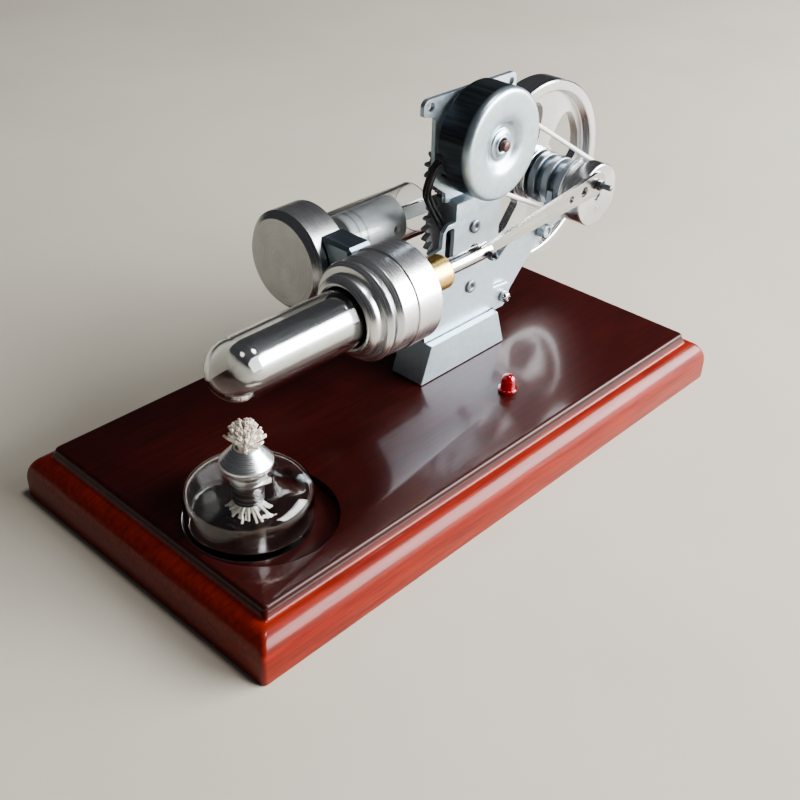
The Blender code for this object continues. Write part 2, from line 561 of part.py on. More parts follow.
def make_link_block():
    body = block("link_block", at(-24.6, -1, 36.1), at(-15, 12.6, 58.5), ALUMINIUM, 0.5 * MM, 1)
    drill(body, "cooler_saddle_form", 16.05 * MM, -60 * MM, 20 * MM, (0, HOT_Y, AXIS_Z), "x", 28)
    drill(body, "cap_saddle_form", 16.45 * MM, -60 * MM, -15.7 * MM, (0, POWER_Y, AXIS_Z), "x",
          28)
    drill(body, "tube_saddle_form", 9.45 * MM, -60 * MM, 20 * MM, (0, POWER_Y, AXIS_Z), "x", 24)
    drill(body, "block_port_form", PORT_R, -20 * MM, 20 * MM, (PORT_X, 0, AXIS_Z), "-y", 12)
    for height in BLOCK_SCREWS:
        place = (0, 5 * MM, TOP + height * MM)
        drill(body, f"block_thread_form_{height:.0f}", 1.3 * MM, -21 * MM, 0, place, "x", 12)
        screw = [(0, -11.1), (1.8, -11.3), (2.2, -12.1), (2.2, -12.6), (1.0, -12.6),
                 (1.0, -20.5), (0, -20.5)]
        profile = [(r * MM, h * MM) for r, h in screw]
        side = "upper" if height == max(BLOCK_SCREWS) else "lower"
        turned(f"block_screw_{side}", profile, place, "x", STEEL, 12)


def turned_about_y(name, points, x, z, mat, steps=24, closed=False):
    """Turn a profile given in millimetres; its heights point towards -Y."""
    profile = [(r * MM, h * MM) for r, h in points]
    return turned(name, profile, (x, 0, z), "-y", mat, steps, closed)


def make_screws():
    pan_head = [(0, 6.1), (1.4, 5.8), (2.0, 5.2), (2.0, 3.8), (1.0, 3.8), (1.0, -2.4), (0, -2.4)]
    turned_about_y("tab_screw", pan_head, *TAB_SCREW, STEEL, 12)
    pillar = [(0, 5.0), (2.3, 5.0), (2.5, 4.8), (2.5, 1.9), (1.0, 1.9), (1.0, -3.0), (0, -3.0)]
    turned_about_y("arm_screw", pillar, *ARM_SCREW, ZINC, 14)
    nut = [(2.2, -1.0), (2.2, -2.6), (1.3, -2.6), (1.3, -1.0)]
    turned_about_y("arm_nut", nut, *ARM_SCREW, STEEL, 6, True)
    stub = [(0, 4.6), (1.9, 4.4), (2.3, 3.8), (1.5, 3.8), (1.5, -7.4), (0, -7.4)]
    turned_about_y("idler_stub", stub, *UPPER_RIVET, STEEL, 14)
    rivet = [(0, 4.6), (1.9, 4.4), (2.3, 3.8), (1.5, 3.8), (1.5, 1.2), (0, 1.2)]
    turned_about_y("lower_rivet", rivet, *LOWER_SCREW, STEEL, 14)
    clip = [(2.6, -6.7), (2.6, -7.2), (1.8, -7.2), (1.8, -6.7)]
    turned_about_y("idler_clip", clip, *UPPER_RIVET, STEEL, 14, True)


def rim_form(name, start, end):
    """A stretch of the back of the generator can's rim, between two angles in degrees."""
    count = 12
    angles = [math.radians(start + (end - start) * i / count) for i in range(count + 1)]
    outline = [(GEN_X + 19 * MM * math.cos(a), GEN_Z + 19 * MM * math.sin(a)) for a in angles]
    outline += [(GEN_X + 16.2 * MM * math.cos(a), GEN_Z + 16.2 * MM * math.sin(a))
                for a in reversed(angles)]
    return sheet(name, [outline], (-4.9 * MM, -1 * MM), None, CUTTERS)


def make_generator():
    can = [(2.1, 13.4), (4.4, 13.4), (4.6, 12.9), (8.6, 14.4), (16.2, 14.5), (17.1, 14.0),
           (17.4, 13.2), (17.4, 2.2), (16.4, 2.2), (16.4, 12.6), (15.4, 13.3), (8.6, 13.2),
           (4.6, 11.7), (2.1, 11.7)]
    body = turned_about_y("generator_can", can, GEN_X, GEN_Z, CAN_GREY, 24, True)
    cut(body, rim_form("belt_notch_form", -97, 36))
    cut(body, rim_form("lead_notch_form", 183, 211))
    cover = [(16.1, 5.7), (16.1, 4.7), (2.2, 4.7), (2.2, 5.7)]
    turned_about_y("generator_cover", cover, GEN_X, GEN_Z, ZINC, 24, True)
    coil = [(15.4, 11.6), (16.0, 11.0), (16.0, 6.1), (10.5, 6.1), (10.5, 11.6)]
    turned_about_y("generator_coil", coil, GEN_X, GEN_Z, COPPER, 24, True)
    rotor = [(10.0, 11.2), (10.0, 6.3), (1.3, 6.3), (1.3, 11.2)]
    turned_about_y("generator_rotor", rotor, GEN_X, GEN_Z, MAGNET, 18, True)
    shaft = [(0, 15.2), (1.5, 15.2), (1.7, 15.0), (1.7, 11.5), (1.0, 11.5), (1.0, -4.8),
             (0, -4.8)]
    turned_about_y("generator_shaft", shaft, GEN_X, GEN_Z, STEEL, 12)
    belt_h, belt_radius = -GEN_GROOVE[0] / MM, GEN_GROOVE[1] / MM
    bottom = belt_radius - (BELT_R + GAP) / MM
    pulley = [(13.3, 4.2), (13.3, 3.9), (bottom, 3.6), (bottom, belt_h - 0.9), (13.3, 1.3),
              (13.3, 0.8), (1.3, 0.8), (1.3, 4.2)]
    turned_about_y("generator_pulley", pulley, GEN_X, GEN_Z, GREY_PLASTIC, 22, True)
    for name, angle in (("upper", 125), ("lower", 235), ("right", 300)):
        x = GEN_X + 15.1 * MM * math.cos(math.radians(angle))
        z = GEN_Z + 15.1 * MM * math.sin(math.radians(angle))
        turned_about_y(f"generator_post_{name}", [(0, 4.4), (0.85, 4.4), (0.85, 0.8), (0, 0.8)],
                       x, z, STEEL, 12)


def mesh_phase(first, second, first_teeth, first_phase, second_teeth):
    """Phase that puts a gap of the second gear on a tooth of the first."""
    line = math.atan2(second[1] - first[1], second[0] - first[0])
    share = (line - first_phase) * first_teeth / (2 * math.pi)
    return line + math.pi + (share % 1 - 0.5) * 2 * math.pi / second_teeth


def make_gears():
    generator, counter, idler = (GEN_X, GEN_Z), COUNTER_AXIS, UPPER_RIVET
    fine_y, coarse_y = (1.6 * MM, 3.6 * MM), (3.4 * MM, 6.3 * MM)
    pinion_teeth, wheel_teeth, counter_teeth, idler_teeth = GEAR_TEETH
    wheel_phase = mesh_phase(generator, counter, pinion_teeth, 0, wheel_teeth)
    idler_phase = mesh_phase(counter, idler, counter_teeth, 0, idler_teeth)
    sheet("generator_pinion", [gear_outline(generator, pinion_teeth, FINE, 0),
                               circle(generator, 1.3 * MM, 12)], fine_y, STEEL)
    wheel = sheet("counter_gear", [gear_outline(counter, wheel_teeth, FINE, wheel_phase),
                                   circle(counter, 1.8 * MM, 16)], fine_y, GREY_PLASTIC)
    small = sheet("counter_pinion_form", [gear_outline(counter, counter_teeth, COARSE, 0),
                                          circle(counter, 1.8 * MM, 16)], coarse_y, None,
                  CUTTERS)
    cut(wheel, small, "UNION")
    sheet("idler_gear", [gear_outline(idler, idler_teeth, COARSE, idler_phase),
                         circle(idler, 1.8 * MM, 16)], (3.9 * MM, 6.3 * MM), GREY_PLASTIC)
    stub = [(0, 0.3), (1.5, 0.3), (1.5, -6.6), (2.6, -6.6), (2.6, -7.3), (0, -7.3)]
    turned_about_y("counter_stub", stub, *counter, STEEL, 14)


def make_belt():
    """One loop round both grooves; its straight runs slant from one groove to the other."""
    big, small = Vector((GEN_X, GEN_Z)), Vector((CRANK_X, AXIS_Z))
    between = small - big
    heading = math.atan2(between.y, between.x)
    lean = math.asin((GEN_GROOVE[1] - CRANK_GROOVE[1]) / between.length)
    upper, lower = heading + math.pi / 2 - lean, heading - math.pi / 2 + lean
    loop = []
    for centre, (y, radius), start, end in ((small, CRANK_GROOVE, upper, lower),
                                            (big, GEN_GROOVE, lower, upper - 2 * math.pi)):
        for step in range(15):
            angle = start + (end - start) * step / 14
            loop.append((centre.x + radius * math.cos(angle), y,
                         centre.y + radius * math.sin(angle)))
    wire("drive_belt", loop, BELT_R, WHITE_RUBBER, cyclic=True)


def make_signal_lamp():
    place = (24.5 * MM, -28 * MM, TOP)
    lens = [(0, 6.5), (1.0, 6.3), (1.8, 5.7), (2.3, 4.9), (2.5, 4.0), (2.5, 1.3), (3.2, 1.3),
            (3.2, 0.3), (2.5, 0.3), (2.5, -4.0), (0, -4.0)]
    turned("led_lens", [(r * MM, h * MM) for r, h in lens], place, "z", RED_LENS, 16)


def make_leads():
    """Three thin wires side by side, from the generator through the plate into the base."""
    route = smooth_route([at(*knot) for knot in LEAD_ROUTE], 2)
    headings = [(b - a).normalized() for a, b in zip(route, route[1:])]
    headings.append(headings[-1])
    for number in (1, 2, 3):
        around = Quaternion(headings[0], math.radians(120 * number))
        side = around @ headings[0].orthogonal().normalized() * LEAD_SPREAD
        path = []
        for i, place in enumerate(route):
            side = headings[max(i - 1, 0)].rotation_difference(headings[i]) @ side
            path.append(place + side)
        wire(f"generator_lead_{number}", path, LEAD_R, BLACK_PVC)


make_base()
make_lamp()
make_hot_end()
make_link_block()
make_power_end()
make_displacer_con_rod()
make_crankshaft()
make_bearings()
make_bracket()
make_screws()
make_generator()
make_gears()
make_belt()
make_signal_lamp()
make_leads()
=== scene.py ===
"""Looks of the desk-top Stirling engine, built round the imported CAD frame.  Metres."""
import math
import random

import bmesh
import bpy
from mathutils import Matrix, Vector


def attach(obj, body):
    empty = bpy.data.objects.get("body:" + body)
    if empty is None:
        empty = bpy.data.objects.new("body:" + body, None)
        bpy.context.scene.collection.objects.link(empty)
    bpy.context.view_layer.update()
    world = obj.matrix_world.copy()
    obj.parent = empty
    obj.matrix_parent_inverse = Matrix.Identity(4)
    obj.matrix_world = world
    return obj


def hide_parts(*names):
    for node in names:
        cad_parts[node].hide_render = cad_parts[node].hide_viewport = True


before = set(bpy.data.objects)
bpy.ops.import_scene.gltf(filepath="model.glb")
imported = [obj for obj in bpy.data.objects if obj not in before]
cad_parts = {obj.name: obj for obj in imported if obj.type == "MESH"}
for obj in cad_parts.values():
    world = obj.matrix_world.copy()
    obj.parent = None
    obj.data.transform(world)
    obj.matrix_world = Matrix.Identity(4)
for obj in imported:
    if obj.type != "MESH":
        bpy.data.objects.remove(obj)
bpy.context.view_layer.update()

MM = 0.001
TOP = 18.5                          # height of the base's panel, mm
AXIS = 65.8                         # height of cylinders and crankshaft, mm
SCENE = bpy.context.scene


# ---------------------------------------------------------------- camera, light, floor
def make_camera():
    azimuth, elevation, roll = (math.radians(v) for v in (-46.573, 35.546, 1.457))
    back = Vector((math.sin(azimuth) * math.cos(elevation),
                   -math.cos(azimuth) * math.cos(elevation), math.sin(elevation)))
    side = Vector((0, 0, 1)).cross(back).normalized()
    up = back.cross(side)
    x = math.cos(roll) * side + math.sin(roll) * up
    y = -math.sin(roll) * side + math.cos(roll) * up
    data = bpy.data.cameras.new("camera")
    data.lens, data.sensor_width = 49.93, 36.0
    data.shift_x, data.shift_y = 0.0337, 0.0448
    data.clip_start = 0.01
    camera = bpy.data.objects.new("camera", data)
    SCENE.collection.objects.link(camera)
    turn = Matrix((x, y, back)).transposed().to_4x4()
    camera.matrix_world = Matrix.Translation((-0.23116, -0.20895, 0.22011)) @ turn
    SCENE.camera = camera


def area_light(name, place, target, size, power, colour=(1, 1, 1)):
    data = bpy.data.lights.new(name, "AREA")
    data.shape, data.size, data.size_y = "RECTANGLE", *size
    data.energy, data.color = power, colour
    light = bpy.data.objects.new(name, data)
    SCENE.collection.objects.link(light)
    light.location = place
    light.rotation_euler = (Vector(target) - Vector(place)).to_track_quat("-Z", "Y").to_euler()


def make_studio():
    area_light("window", (0.68, -0.80, 0.48), (0, 0, 0.05), (1.2, 0.8), 42, (0.98, 0.99, 1.0))
    area_light("top_panel", (0.15, -0.35, 1.3), (0, 0, 0.05), (0.3, 0.3), 5, (1, 0.98, 0.95))
    SCENE.view_settings.look = "AgX - Medium High Contrast"
    SCENE.view_settings.exposure = 0.25
    world = bpy.data.worlds.new("studio")
    SCENE.world = world
    world.use_nodes = True
    tree = world.node_tree
    coord, split = node(tree, "TexCoord"), node(tree, "SeparateXYZ")
    tree.links.new(coord.outputs["Generated"], split.inputs[0])
    height = arithmetic(tree, "MULTIPLY_ADD", split.outputs["Z"], 0.5, 0.5)
    sky = ramp(tree, height, ((0.42, (0.045, 0.045, 0.05)), (0.75, (0.075, 0.075, 0.08))))
    tree.links.new(sky, tree.nodes["Background"].inputs[0])
    tree.nodes["Background"].inputs[1].default_value = 0.8

    mesh = bpy.data.meshes.new("floor")
    bm = bmesh.new()
    bmesh.ops.create_grid(bm, x_segments=1, y_segments=1, size=2.0)
    bm.to_mesh(mesh)
    bm.free()
    floor = bpy.data.objects.new("floor", mesh)
    SCENE.collection.objects.link(floor)
    floor.data.materials.append(PAPER)


# ---------------------------------------------------------------- materials
def new_material(name, rough, metal=0.0):
    mat = bpy.data.materials.new(name)
    mat.use_nodes = True
    shader = mat.node_tree.nodes["Principled BSDF"]
    shader.inputs["Roughness"].default_value = rough
    shader.inputs["Metallic"].default_value = metal
    return mat, mat.node_tree, shader


def node(tree, kind, **inputs):
    made = tree.nodes.new("ShaderNode" + kind)
    for key, value in inputs.items():
        made.inputs[key].default_value = value
    return made


def stretched(tree, scale):
    """Texture coordinates scaled differently along the three axes."""
    coord = node(tree, "TexCoord")
    mapping = node(tree, "Mapping", Scale=scale)
    tree.links.new(coord.outputs["Object"], mapping.inputs["Vector"])
    return mapping.outputs["Vector"]


def noise(tree, vector, scale=1.0, detail=4.0, rough=0.55):
    made = node(tree, "TexNoise", Scale=scale, Detail=detail, Roughness=rough)
    tree.links.new(vector, made.inputs["Vector"])
    return made.outputs["Fac"]


def ramp(tree, value, stops):
    """Colours by value: stops are (position, colour or grey)."""
    made = node(tree, "ValToRGB")
    elements = made.color_ramp.elements
    while len(elements) < len(stops):
        elements.new(0.5)
    for element, (position, colour) in zip(elements, stops):
        element.position = position
        element.color = (*colour, 1) if isinstance(colour, tuple) else (*(colour,) * 3, 1)
    tree.links.new(value, made.inputs["Fac"])
    return made.outputs["Color"]


def object_axes(tree):
    """The X, Y and Z of the shaded point, as separate outputs."""
    coord, split = node(tree, "TexCoord"), node(tree, "SeparateXYZ")
    tree.links.new(coord.outputs["Object"], split.inputs[0])
    return split.outputs


def rise(tree, value, low, high):
    """0 below one value, in mm, and 1 above the other."""
    span = node(tree, "MapRange")
    span.inputs["From Min"].default_value = low * MM
    span.inputs["From Max"].default_value = high * MM
    tree.links.new(value, span.inputs["Value"])
    return span.outputs["Result"]


def arithmetic(tree, operation, *values):
    maths = node(tree, "Math")
    maths.operation = operation
    for slot, value in enumerate(values):
        if isinstance(value, float):
            maths.inputs[slot].default_value = value
        else:
            tree.links.new(value, maths.inputs[slot])
    return maths.outputs["Value"]


def blend(tree, factor, first, second):
    """Colour that goes from the first to the second, which may be a plain colour."""
    mix = node(tree, "Mix")
    mix.data_type = "RGBA"
    tree.links.new(factor, mix.inputs[0])
    tree.links.new(first, mix.inputs[6])
    if isinstance(second, tuple):
        mix.inputs[7].default_value = second
    else:
        tree.links.new(second, mix.inputs[7])
    return mix.outputs[2]


def bump(tree, shader, height, strength, distance):
    made = node(tree, "Bump", Strength=strength, Distance=distance)
    tree.links.new(height, made.inputs["Height"])
    tree.links.new(made.outputs["Normal"], shader.inputs["Normal"])


def shade(colour, factor):
    return tuple(c * factor for c in colour)


def lacquered_wood():
    """Dark stained wood under lacquer, redder on the moulded border than on the panel."""
    mat, tree, shader = new_material("lacquered_wood", 0.38)
    grain = noise(tree, stretched(tree, (45, 700, 700)), 1.0, 7.0, 0.62)
    panel = ramp(tree, grain, ((0.30, (0.020, 0.0035, 0.003)), (0.5, (0.034, 0.0045, 0.0035)),
                               (0.72, (0.052, 0.006, 0.004))))
    border = ramp(tree, grain, ((0.30, (0.12, 0.010, 0.006)), (0.5, (0.19, 0.017, 0.009)),
                                (0.72, (0.26, 0.026, 0.012))))
    axes = object_axes(tree)
    beyond = [arithmetic(tree, "SUBTRACT", arithmetic(tree, "ABSOLUTE", axes[axis]), half * MM)
              for axis, half in (("X", 108 - 6.6), ("Y", 56 - 6.6))]
    inside = rise(tree, arithmetic(tree, "MAXIMUM", *beyond), 0.3, -0.3)
    tree.links.new(blend(tree, inside, border, panel), shader.inputs["Base Color"])
    shader.inputs["Coat Weight"].default_value = 0.3
    shader.inputs["Coat Roughness"].default_value = 0.12
    shader.inputs["Specular IOR Level"].default_value = 0.2
    bump(tree, shader, noise(tree, stretched(tree, (60, 260, 260)), 1.0, 3.0), 0.05, 0.0004)
    return mat


def metal(name, colour, rough, spread=0.08, scale=(300, 300, 300), bumpiness=0.03, metallic=1.0,
          contrast=0.88):
    """Plain metal with a mottled gloss."""
    mat, tree, shader = new_material(name, rough, metallic)
    field = noise(tree, stretched(tree, scale), 1.0, 5.0)
    tree.links.new(ramp(tree, field, ((0.3, shade(colour, contrast)), (0.7, colour))),
                   shader.inputs["Base Color"])
    tree.links.new(ramp(tree, field, ((0.3, rough - spread), (0.7, rough + spread))),
                   shader.inputs["Roughness"])
    bump(tree, shader, field, bumpiness, 0.0003)
    return mat


def turned_metal(name, colour, rough, axis, anisotropy=0.55, grooves=170.0, depth=0.10):
    """Lathe-turned metal: fine rings about one axis, with a stretched highlight."""
    mat, tree, shader = new_material(name, rough, 1.0)
    coord = node(tree, "TexCoord")
    centred = node(tree, "VectorMath")
    centred.operation = "SUBTRACT"
    centred.inputs[1].default_value = (0.5, 0.5, 0.5)
    tree.links.new(coord.outputs["Generated"], centred.inputs[0])
    flat = node(tree, "VectorMath")
    flat.operation = "MULTIPLY"
    flat.inputs[1].default_value = tuple(0.0 if a == axis else 1.0 for a in "XYZ")
    tree.links.new(centred.outputs["Vector"], flat.inputs[0])
    radius = node(tree, "VectorMath")
    radius.operation = "LENGTH"
    tree.links.new(flat.outputs["Vector"], radius.inputs[0])
    split = node(tree, "SeparateXYZ")
    tree.links.new(centred.outputs["Vector"], split.inputs[0])
    joined = node(tree, "CombineXYZ")
    tree.links.new(radius.outputs["Value"], joined.inputs["X"])
    tree.links.new(split.outputs[axis], joined.inputs["Y"])
    rings = noise(tree, joined.outputs["Vector"], grooves, 3.0, 0.7)
    cloud = noise(tree, coord.outputs["Generated"], 5.0, 3.0)
    tree.links.new(ramp(tree, rings, ((0.3, rough * 0.75), (0.7, rough * 1.3))),
                   shader.inputs["Roughness"])
    tree.links.new(ramp(tree, cloud, ((0.35, shade(colour, 0.9)), (0.65, colour))),
                   shader.inputs["Base Color"])
    shader.inputs["Anisotropic"].default_value = anisotropy
    tangent = node(tree, "Tangent")
    tangent.direction_type = "RADIAL"
    tangent.axis = axis
    tree.links.new(tangent.outputs["Tangent"], shader.inputs["Tangent"])
    bump(tree, shader, rings, depth, 0.00015)
    return mat


def can_steel():
    """Zinc-plated drawn steel: a pale face, and a side painted near-black as painted shade,
    streaked by long drawing marks.
    """
    mat, tree, shader = new_material("can_steel", 0.36, 0.9)
    field = noise(tree, stretched(tree, (420, 420, 420)), 1.0, 5.0)
    face = ramp(tree, field, ((0.3, (0.44, 0.53, 0.58)), (0.7, (0.54, 0.63, 0.68))))
    marks = noise(tree, stretched(tree, (900, 40, 900)), 1.0, 5.0)
    # painted shade: the can's side gets a near-black colour for the shade and dark reflections it
    # has away from the window; the drawing marks only streak it
    side = ramp(tree, marks, ((0.3, (0.045, 0.055, 0.065)), (0.7, (0.12, 0.14, 0.16))))
    # painted shade mask: 0 on the front face, 1 on the side behind it
    depth = rise(tree, object_axes(tree)["Y"], -12.6, -11.6)
    tree.links.new(blend(tree, depth, face, side), shader.inputs["Base Color"])
    bump(tree, shader, field, 0.08, 0.0003)
    return mat


def clear_glass(name, tint=(0.985, 1.0, 0.995)):
    mat, tree, shader = new_material(name, 0.0)
    smear = noise(tree, stretched(tree, (90, 90, 90)), 1.0, 3.0)
    tree.links.new(ramp(tree, smear, ((0.5, 0.0), (0.9, 0.025))), shader.inputs["Roughness"])
    shader.inputs["Base Color"].default_value = (*tint, 1)
    shader.inputs["Transmission Weight"].default_value = 1.0
    shader.inputs["IOR"].default_value = 1.47
    return mat


def soft(name, low, high, rough, scale, bumpiness=0.2, distance=0.0002, coat=0.0):
    """Non-metal with its colour and surface broken up by noise."""
    mat, tree, shader = new_material(name, rough)
    field = noise(tree, stretched(tree, scale), 1.0, 5.0)
    tree.links.new(ramp(tree, field, ((0.3, low), (0.7, high))), shader.inputs["Base Color"])
    shader.inputs["Coat Weight"].default_value = coat
    bump(tree, shader, field, bumpiness, distance)
    return mat


def wick_cotton():
    """Cotton that is singed at its tips."""
    mat, tree, shader = new_material("wick_cotton", 0.95)
    fibre = noise(tree, stretched(tree, (2500, 2500, 700)), 1.0, 4.0)
    height = rise(tree, object_axes(tree)["Z"], TOP + 27.5, TOP + 32.5)
    singe = arithmetic(tree, "MULTIPLY", height,
                       noise(tree, stretched(tree, (420, 420, 420)), 1.0, 2.0))
    cream = ramp(tree, fibre, ((0.3, (0.80, 0.73, 0.63)), (0.7, (0.96, 0.93, 0.87))))
    tree.links.new(blend(tree, singe, cream, (0.22, 0.09, 0.04, 1)),
                   shader.inputs["Base Color"])
    bump(tree, shader, fibre, 0.4, 0.0002)
    return mat


def red_lens():
    mat, tree, shader = new_material("red_lens", 0.06)
    field = noise(tree, stretched(tree, (500, 500, 500)), 1.0, 2.0)
    tree.links.new(ramp(tree, field, ((0.3, (0.34, 0.003, 0.005)), (0.7, (0.55, 0.008, 0.010)))),
                   shader.inputs["Base Color"])
    shader.inputs["Transmission Weight"].default_value = 0.55
    shader.inputs["IOR"].default_value = 1.5
    # painted glow: a faint red emission stands in for light caught inside the lens, to make it look
    # luminous
    shader.inputs["Emission Color"].default_value = (1.0, 0.01, 0.01, 1)
    shader.inputs["Emission Strength"].default_value = 0.04
    shader.inputs["Coat Weight"].default_value = 1.0
    return mat


ALU = (0.80, 0.81, 0.82)
WOOD = lacquered_wood()
TURNED = {axis: turned_metal(f"turned_aluminium_{axis.lower()}", ALU, 0.24, axis)
          for axis in "XYZ"}
MILLED = metal("milled_aluminium", (0.30, 0.36, 0.41), 0.34, 0.06, (900, 60, 900), 0.08)
STEEL = metal("polished_steel", (0.70, 0.70, 0.70), 0.17, 0.05, (250, 250, 250), 0.02)
ROD_STEEL = metal("rod_steel", (0.66, 0.65, 0.63), 0.24, 0.05, (120, 900, 900), 0.05)
DISPLACER_STEEL = turned_metal("displacer_steel", (0.74, 0.75, 0.76), 0.17, "X", 0.3, 60, 0.04)
DARK = metal("blackened_steel", (0.17, 0.17, 0.19), 0.30, 0.06)
DULL = metal("dull_steel", (0.26, 0.28, 0.30), 0.48, 0.06)
ZINC = metal("zinc_plate", (0.56, 0.65, 0.71), 0.40, 0.05, (500, 500, 500), 0.05, 0.9)
CAN = can_steel()
HOUSING = turned_metal("housing_alloy", (0.30, 0.34, 0.38), 0.34, "Y", 0.3, 60, 0.08)
BRASS = turned_metal("turned_brass", (0.83, 0.55, 0.20), 0.24, "X")
RUST = metal("bare_shaft", (0.16, 0.10, 0.09), 0.45, 0.1, (2500, 2500, 2500), 0.3)
FROSTED = metal("bead_blasted_aluminium", (0.80, 0.83, 0.86), 0.55, 0.06, (600, 600, 600),
                0.08, 0.75)
COPPER = soft("copper_winding", (0.30, 0.08, 0.03), (0.62, 0.24, 0.10), 0.35, (900, 60, 900))
FERRITE = soft("ferrite", (0.02, 0.02, 0.022), (0.05, 0.05, 0.055), 0.6, (900, 900, 900))
GLASS = clear_glass("clear_glass")
COTTON = wick_cotton()
PLASTIC = soft("gear_plastic", (0.20, 0.20, 0.21), (0.27, 0.27, 0.28), 0.45, (800, 800, 800))
SLEEVE = soft("wire_sleeve", (0.008, 0.008, 0.009), (0.02, 0.02, 0.021), 0.3, (900, 900, 900))
RUBBER = soft("belt_rubber", (0.72, 0.72, 0.70), (0.86, 0.87, 0.86), 0.5, (1500, 1500, 1500))
LENS = red_lens()
PAPER = soft("floor_paper", (0.50, 0.465, 0.395), (0.54, 0.505, 0.435), 0.8, (9, 9, 9), 0.0)


# ---------------------------------------------------------------- geometry helpers
AXES = {"x": (Vector((1, 0, 0)), Vector((0, 1, 0))), "-y": (Vector((0, -1, 0)), Vector((1, 0, 0))),
        "z": (Vector((0, 0, 1)), Vector((1, 0, 0)))}


def new_object(name, mesh):
    obj = bpy.data.objects.new(name, mesh)
    SCENE.collection.objects.link(obj)
    return obj


def from_bmesh(name, bm):
    bmesh.ops.recalc_face_normals(bm, faces=bm.faces)
    mesh = bpy.data.meshes.new(name)
    bm.to_mesh(mesh)
    bm.free()
    return new_object(name, mesh)


def lathe(name, points, place, axis="-y", steps=96, closed=False):
    """Turn a (radius, height) profile in mm about an axis through place."""
    along, side = AXES[axis]
    other = along.cross(side)
    centre = Vector(place) * MM
    bm = bmesh.new()
    rings = []
    for radius, height in points:
        if radius == 0:
            rings.append([bm.verts.new(centre + along * height * MM)])
            continue
        rings.append([bm.verts.new(centre + (along * height + radius * (
            side * math.cos(a) + other * math.sin(a))) * MM)
            for a in (2 * math.pi * i / steps for i in range(steps))])
    pairs = list(zip(rings, rings[1:])) + ([(rings[-1], rings[0])] if closed else [])
    for first, second in pairs:
        for i in range(steps):
            j = (i + 1) % steps
            if len(first) == 1:
                bm.faces.new((first[0], second[j], second[i]))
            elif len(second) == 1:
                bm.faces.new((first[i], first[j], second[0]))
            else:
                bm.faces.new((first[i], first[j], second[j], second[i]))
    return from_bmesh(name, bm)


def box_form(low, high):
    bm = bmesh.new()
    bmesh.ops.create_cube(bm, size=1.0)
    size = Vector(high) - Vector(low)
    bmesh.ops.scale(bm, vec=size * MM, verts=bm.verts)
    bmesh.ops.translate(bm, vec=(Vector(low) + Vector(high)) / 2 * MM, verts=bm.verts)
    return from_bmesh("form", bm)


def drill_form(radius, low, high, place, axis="-y", steps=48):
    return lathe("form", [(0, high), (radius, high), (radius, low), (0, low)], place, axis, steps)


def combine(obj, forms, operation="DIFFERENCE"):
    """Cut or join forms into a piece, then drop the forms."""
    for form in forms:
        boolean = obj.modifiers.new("form", "BOOLEAN")
        boolean.operation = operation
        boolean.solver = "EXACT"
        boolean.object = form
    bpy.context.view_layer.update()
    shape = obj.evaluated_get(bpy.context.evaluated_depsgraph_get())
    mesh = bpy.data.meshes.new_from_object(shape)
    obj.modifiers.clear()
    obj.data = mesh
    for form in forms:
        bpy.data.objects.remove(form, do_unlink=True)
    return obj


def outline_circle(centre, radius, count=40):
    return [(centre[0] + radius * math.cos(2 * math.pi * i / count),
             centre[1] + radius * math.sin(2 * math.pi * i / count)) for i in range(count)]


def rounded(corners, count=8):
    """Round an outline's corners: (x, z, radius)."""
    outline = []
    for i, (x, z, radius) in enumerate(corners):
        here = Vector((x, z))
        if radius == 0:
            outline.append((x, z))
            continue
        back = (Vector(corners[i - 1][:2]) - here).normalized()
        ahead = (Vector(corners[(i + 1) % len(corners)][:2]) - here).normalized()
        half = back.angle(ahead) / 2
        centre = here + (back + ahead).normalized() * radius / math.sin(half)
        first = here + back * radius / math.tan(half) - centre
        last = here + ahead * radius / math.tan(half) - centre
        for step in range(count + 1):
            spoke = first.lerp(last, step / count).normalized() * radius
            outline.append(tuple(centre + spoke))
    return outline


def plate(name, outlines, y_range):
    """A flat plate in XZ, in mm: first outline its edge, the rest its holes."""
    curve = bpy.data.curves.new(name, "CURVE")
    curve.dimensions = "2D"
    curve.fill_mode = "BOTH"
    curve.extrude = (y_range[1] - y_range[0]) / 2 * MM
    for outline in outlines:
        spline = curve.splines.new("POLY")
        spline.points.add(len(outline) - 1)
        for vertex, (x, z) in zip(spline.points, outline):
            vertex.co = (x * MM, z * MM, 0, 1)
        spline.use_cyclic_u = True
    flat = new_object(name + "_curve", curve)
    flat.rotation_euler = (math.pi / 2, 0, 0)
    flat.location = (0, sum(y_range) / 2 * MM, 0)
    bpy.context.view_layer.update()
    shape = flat.evaluated_get(bpy.context.evaluated_depsgraph_get())
    bm = bmesh.new()
    bm.from_mesh(bpy.data.meshes.new_from_object(shape))
    bmesh.ops.remove_doubles(bm, verts=bm.verts, dist=0.000005)
    bm.transform(flat.matrix_world)
    bpy.data.objects.remove(flat, do_unlink=True)
    return from_bmesh(name, bm)


def smooth_line(knots, count):
    """Points of a smooth curve through the knots (Catmull-Rom)."""
    knots = [Vector(k) for k in knots]
    padded = [2 * knots[0] - knots[1], *knots, 2 * knots[-1] - knots[-2]]
    line = []
    for i in range(len(knots) - 1):
        a, b, c, d = padded[i:i + 4]
        for t in (s / count for s in range(count)):
            line.append(0.5 * (2 * b + (c - a) * t + (2 * a - 5 * b + 4 * c - d) * t ** 2
                               + (3 * b - a - 3 * c + d) * t ** 3))
    line.append(knots[-1])
    return line


def smooth_profile(points, count=5):
    return [tuple(p) for p in smooth_line(points, count)]


def wire(name, routes, radius, cyclic=False, resolution=4):
    """Round wires along lists of points in metres, as one curve object."""
    curve = bpy.data.curves.new(name, "CURVE")
    curve.dimensions = "3D"
    curve.bevel_depth = radius * MM
    curve.bevel_resolution = resolution
    curve.use_fill_caps = not cyclic
    for route in routes:
        spline = curve.splines.new("POLY")
        spline.points.add(len(route) - 1)
        for vertex, place in zip(spline.points, route):
            vertex.co = (*place, 1)
        spline.use_cyclic_u = cyclic
        spline.use_smooth = True
    return new_object(name, curve)


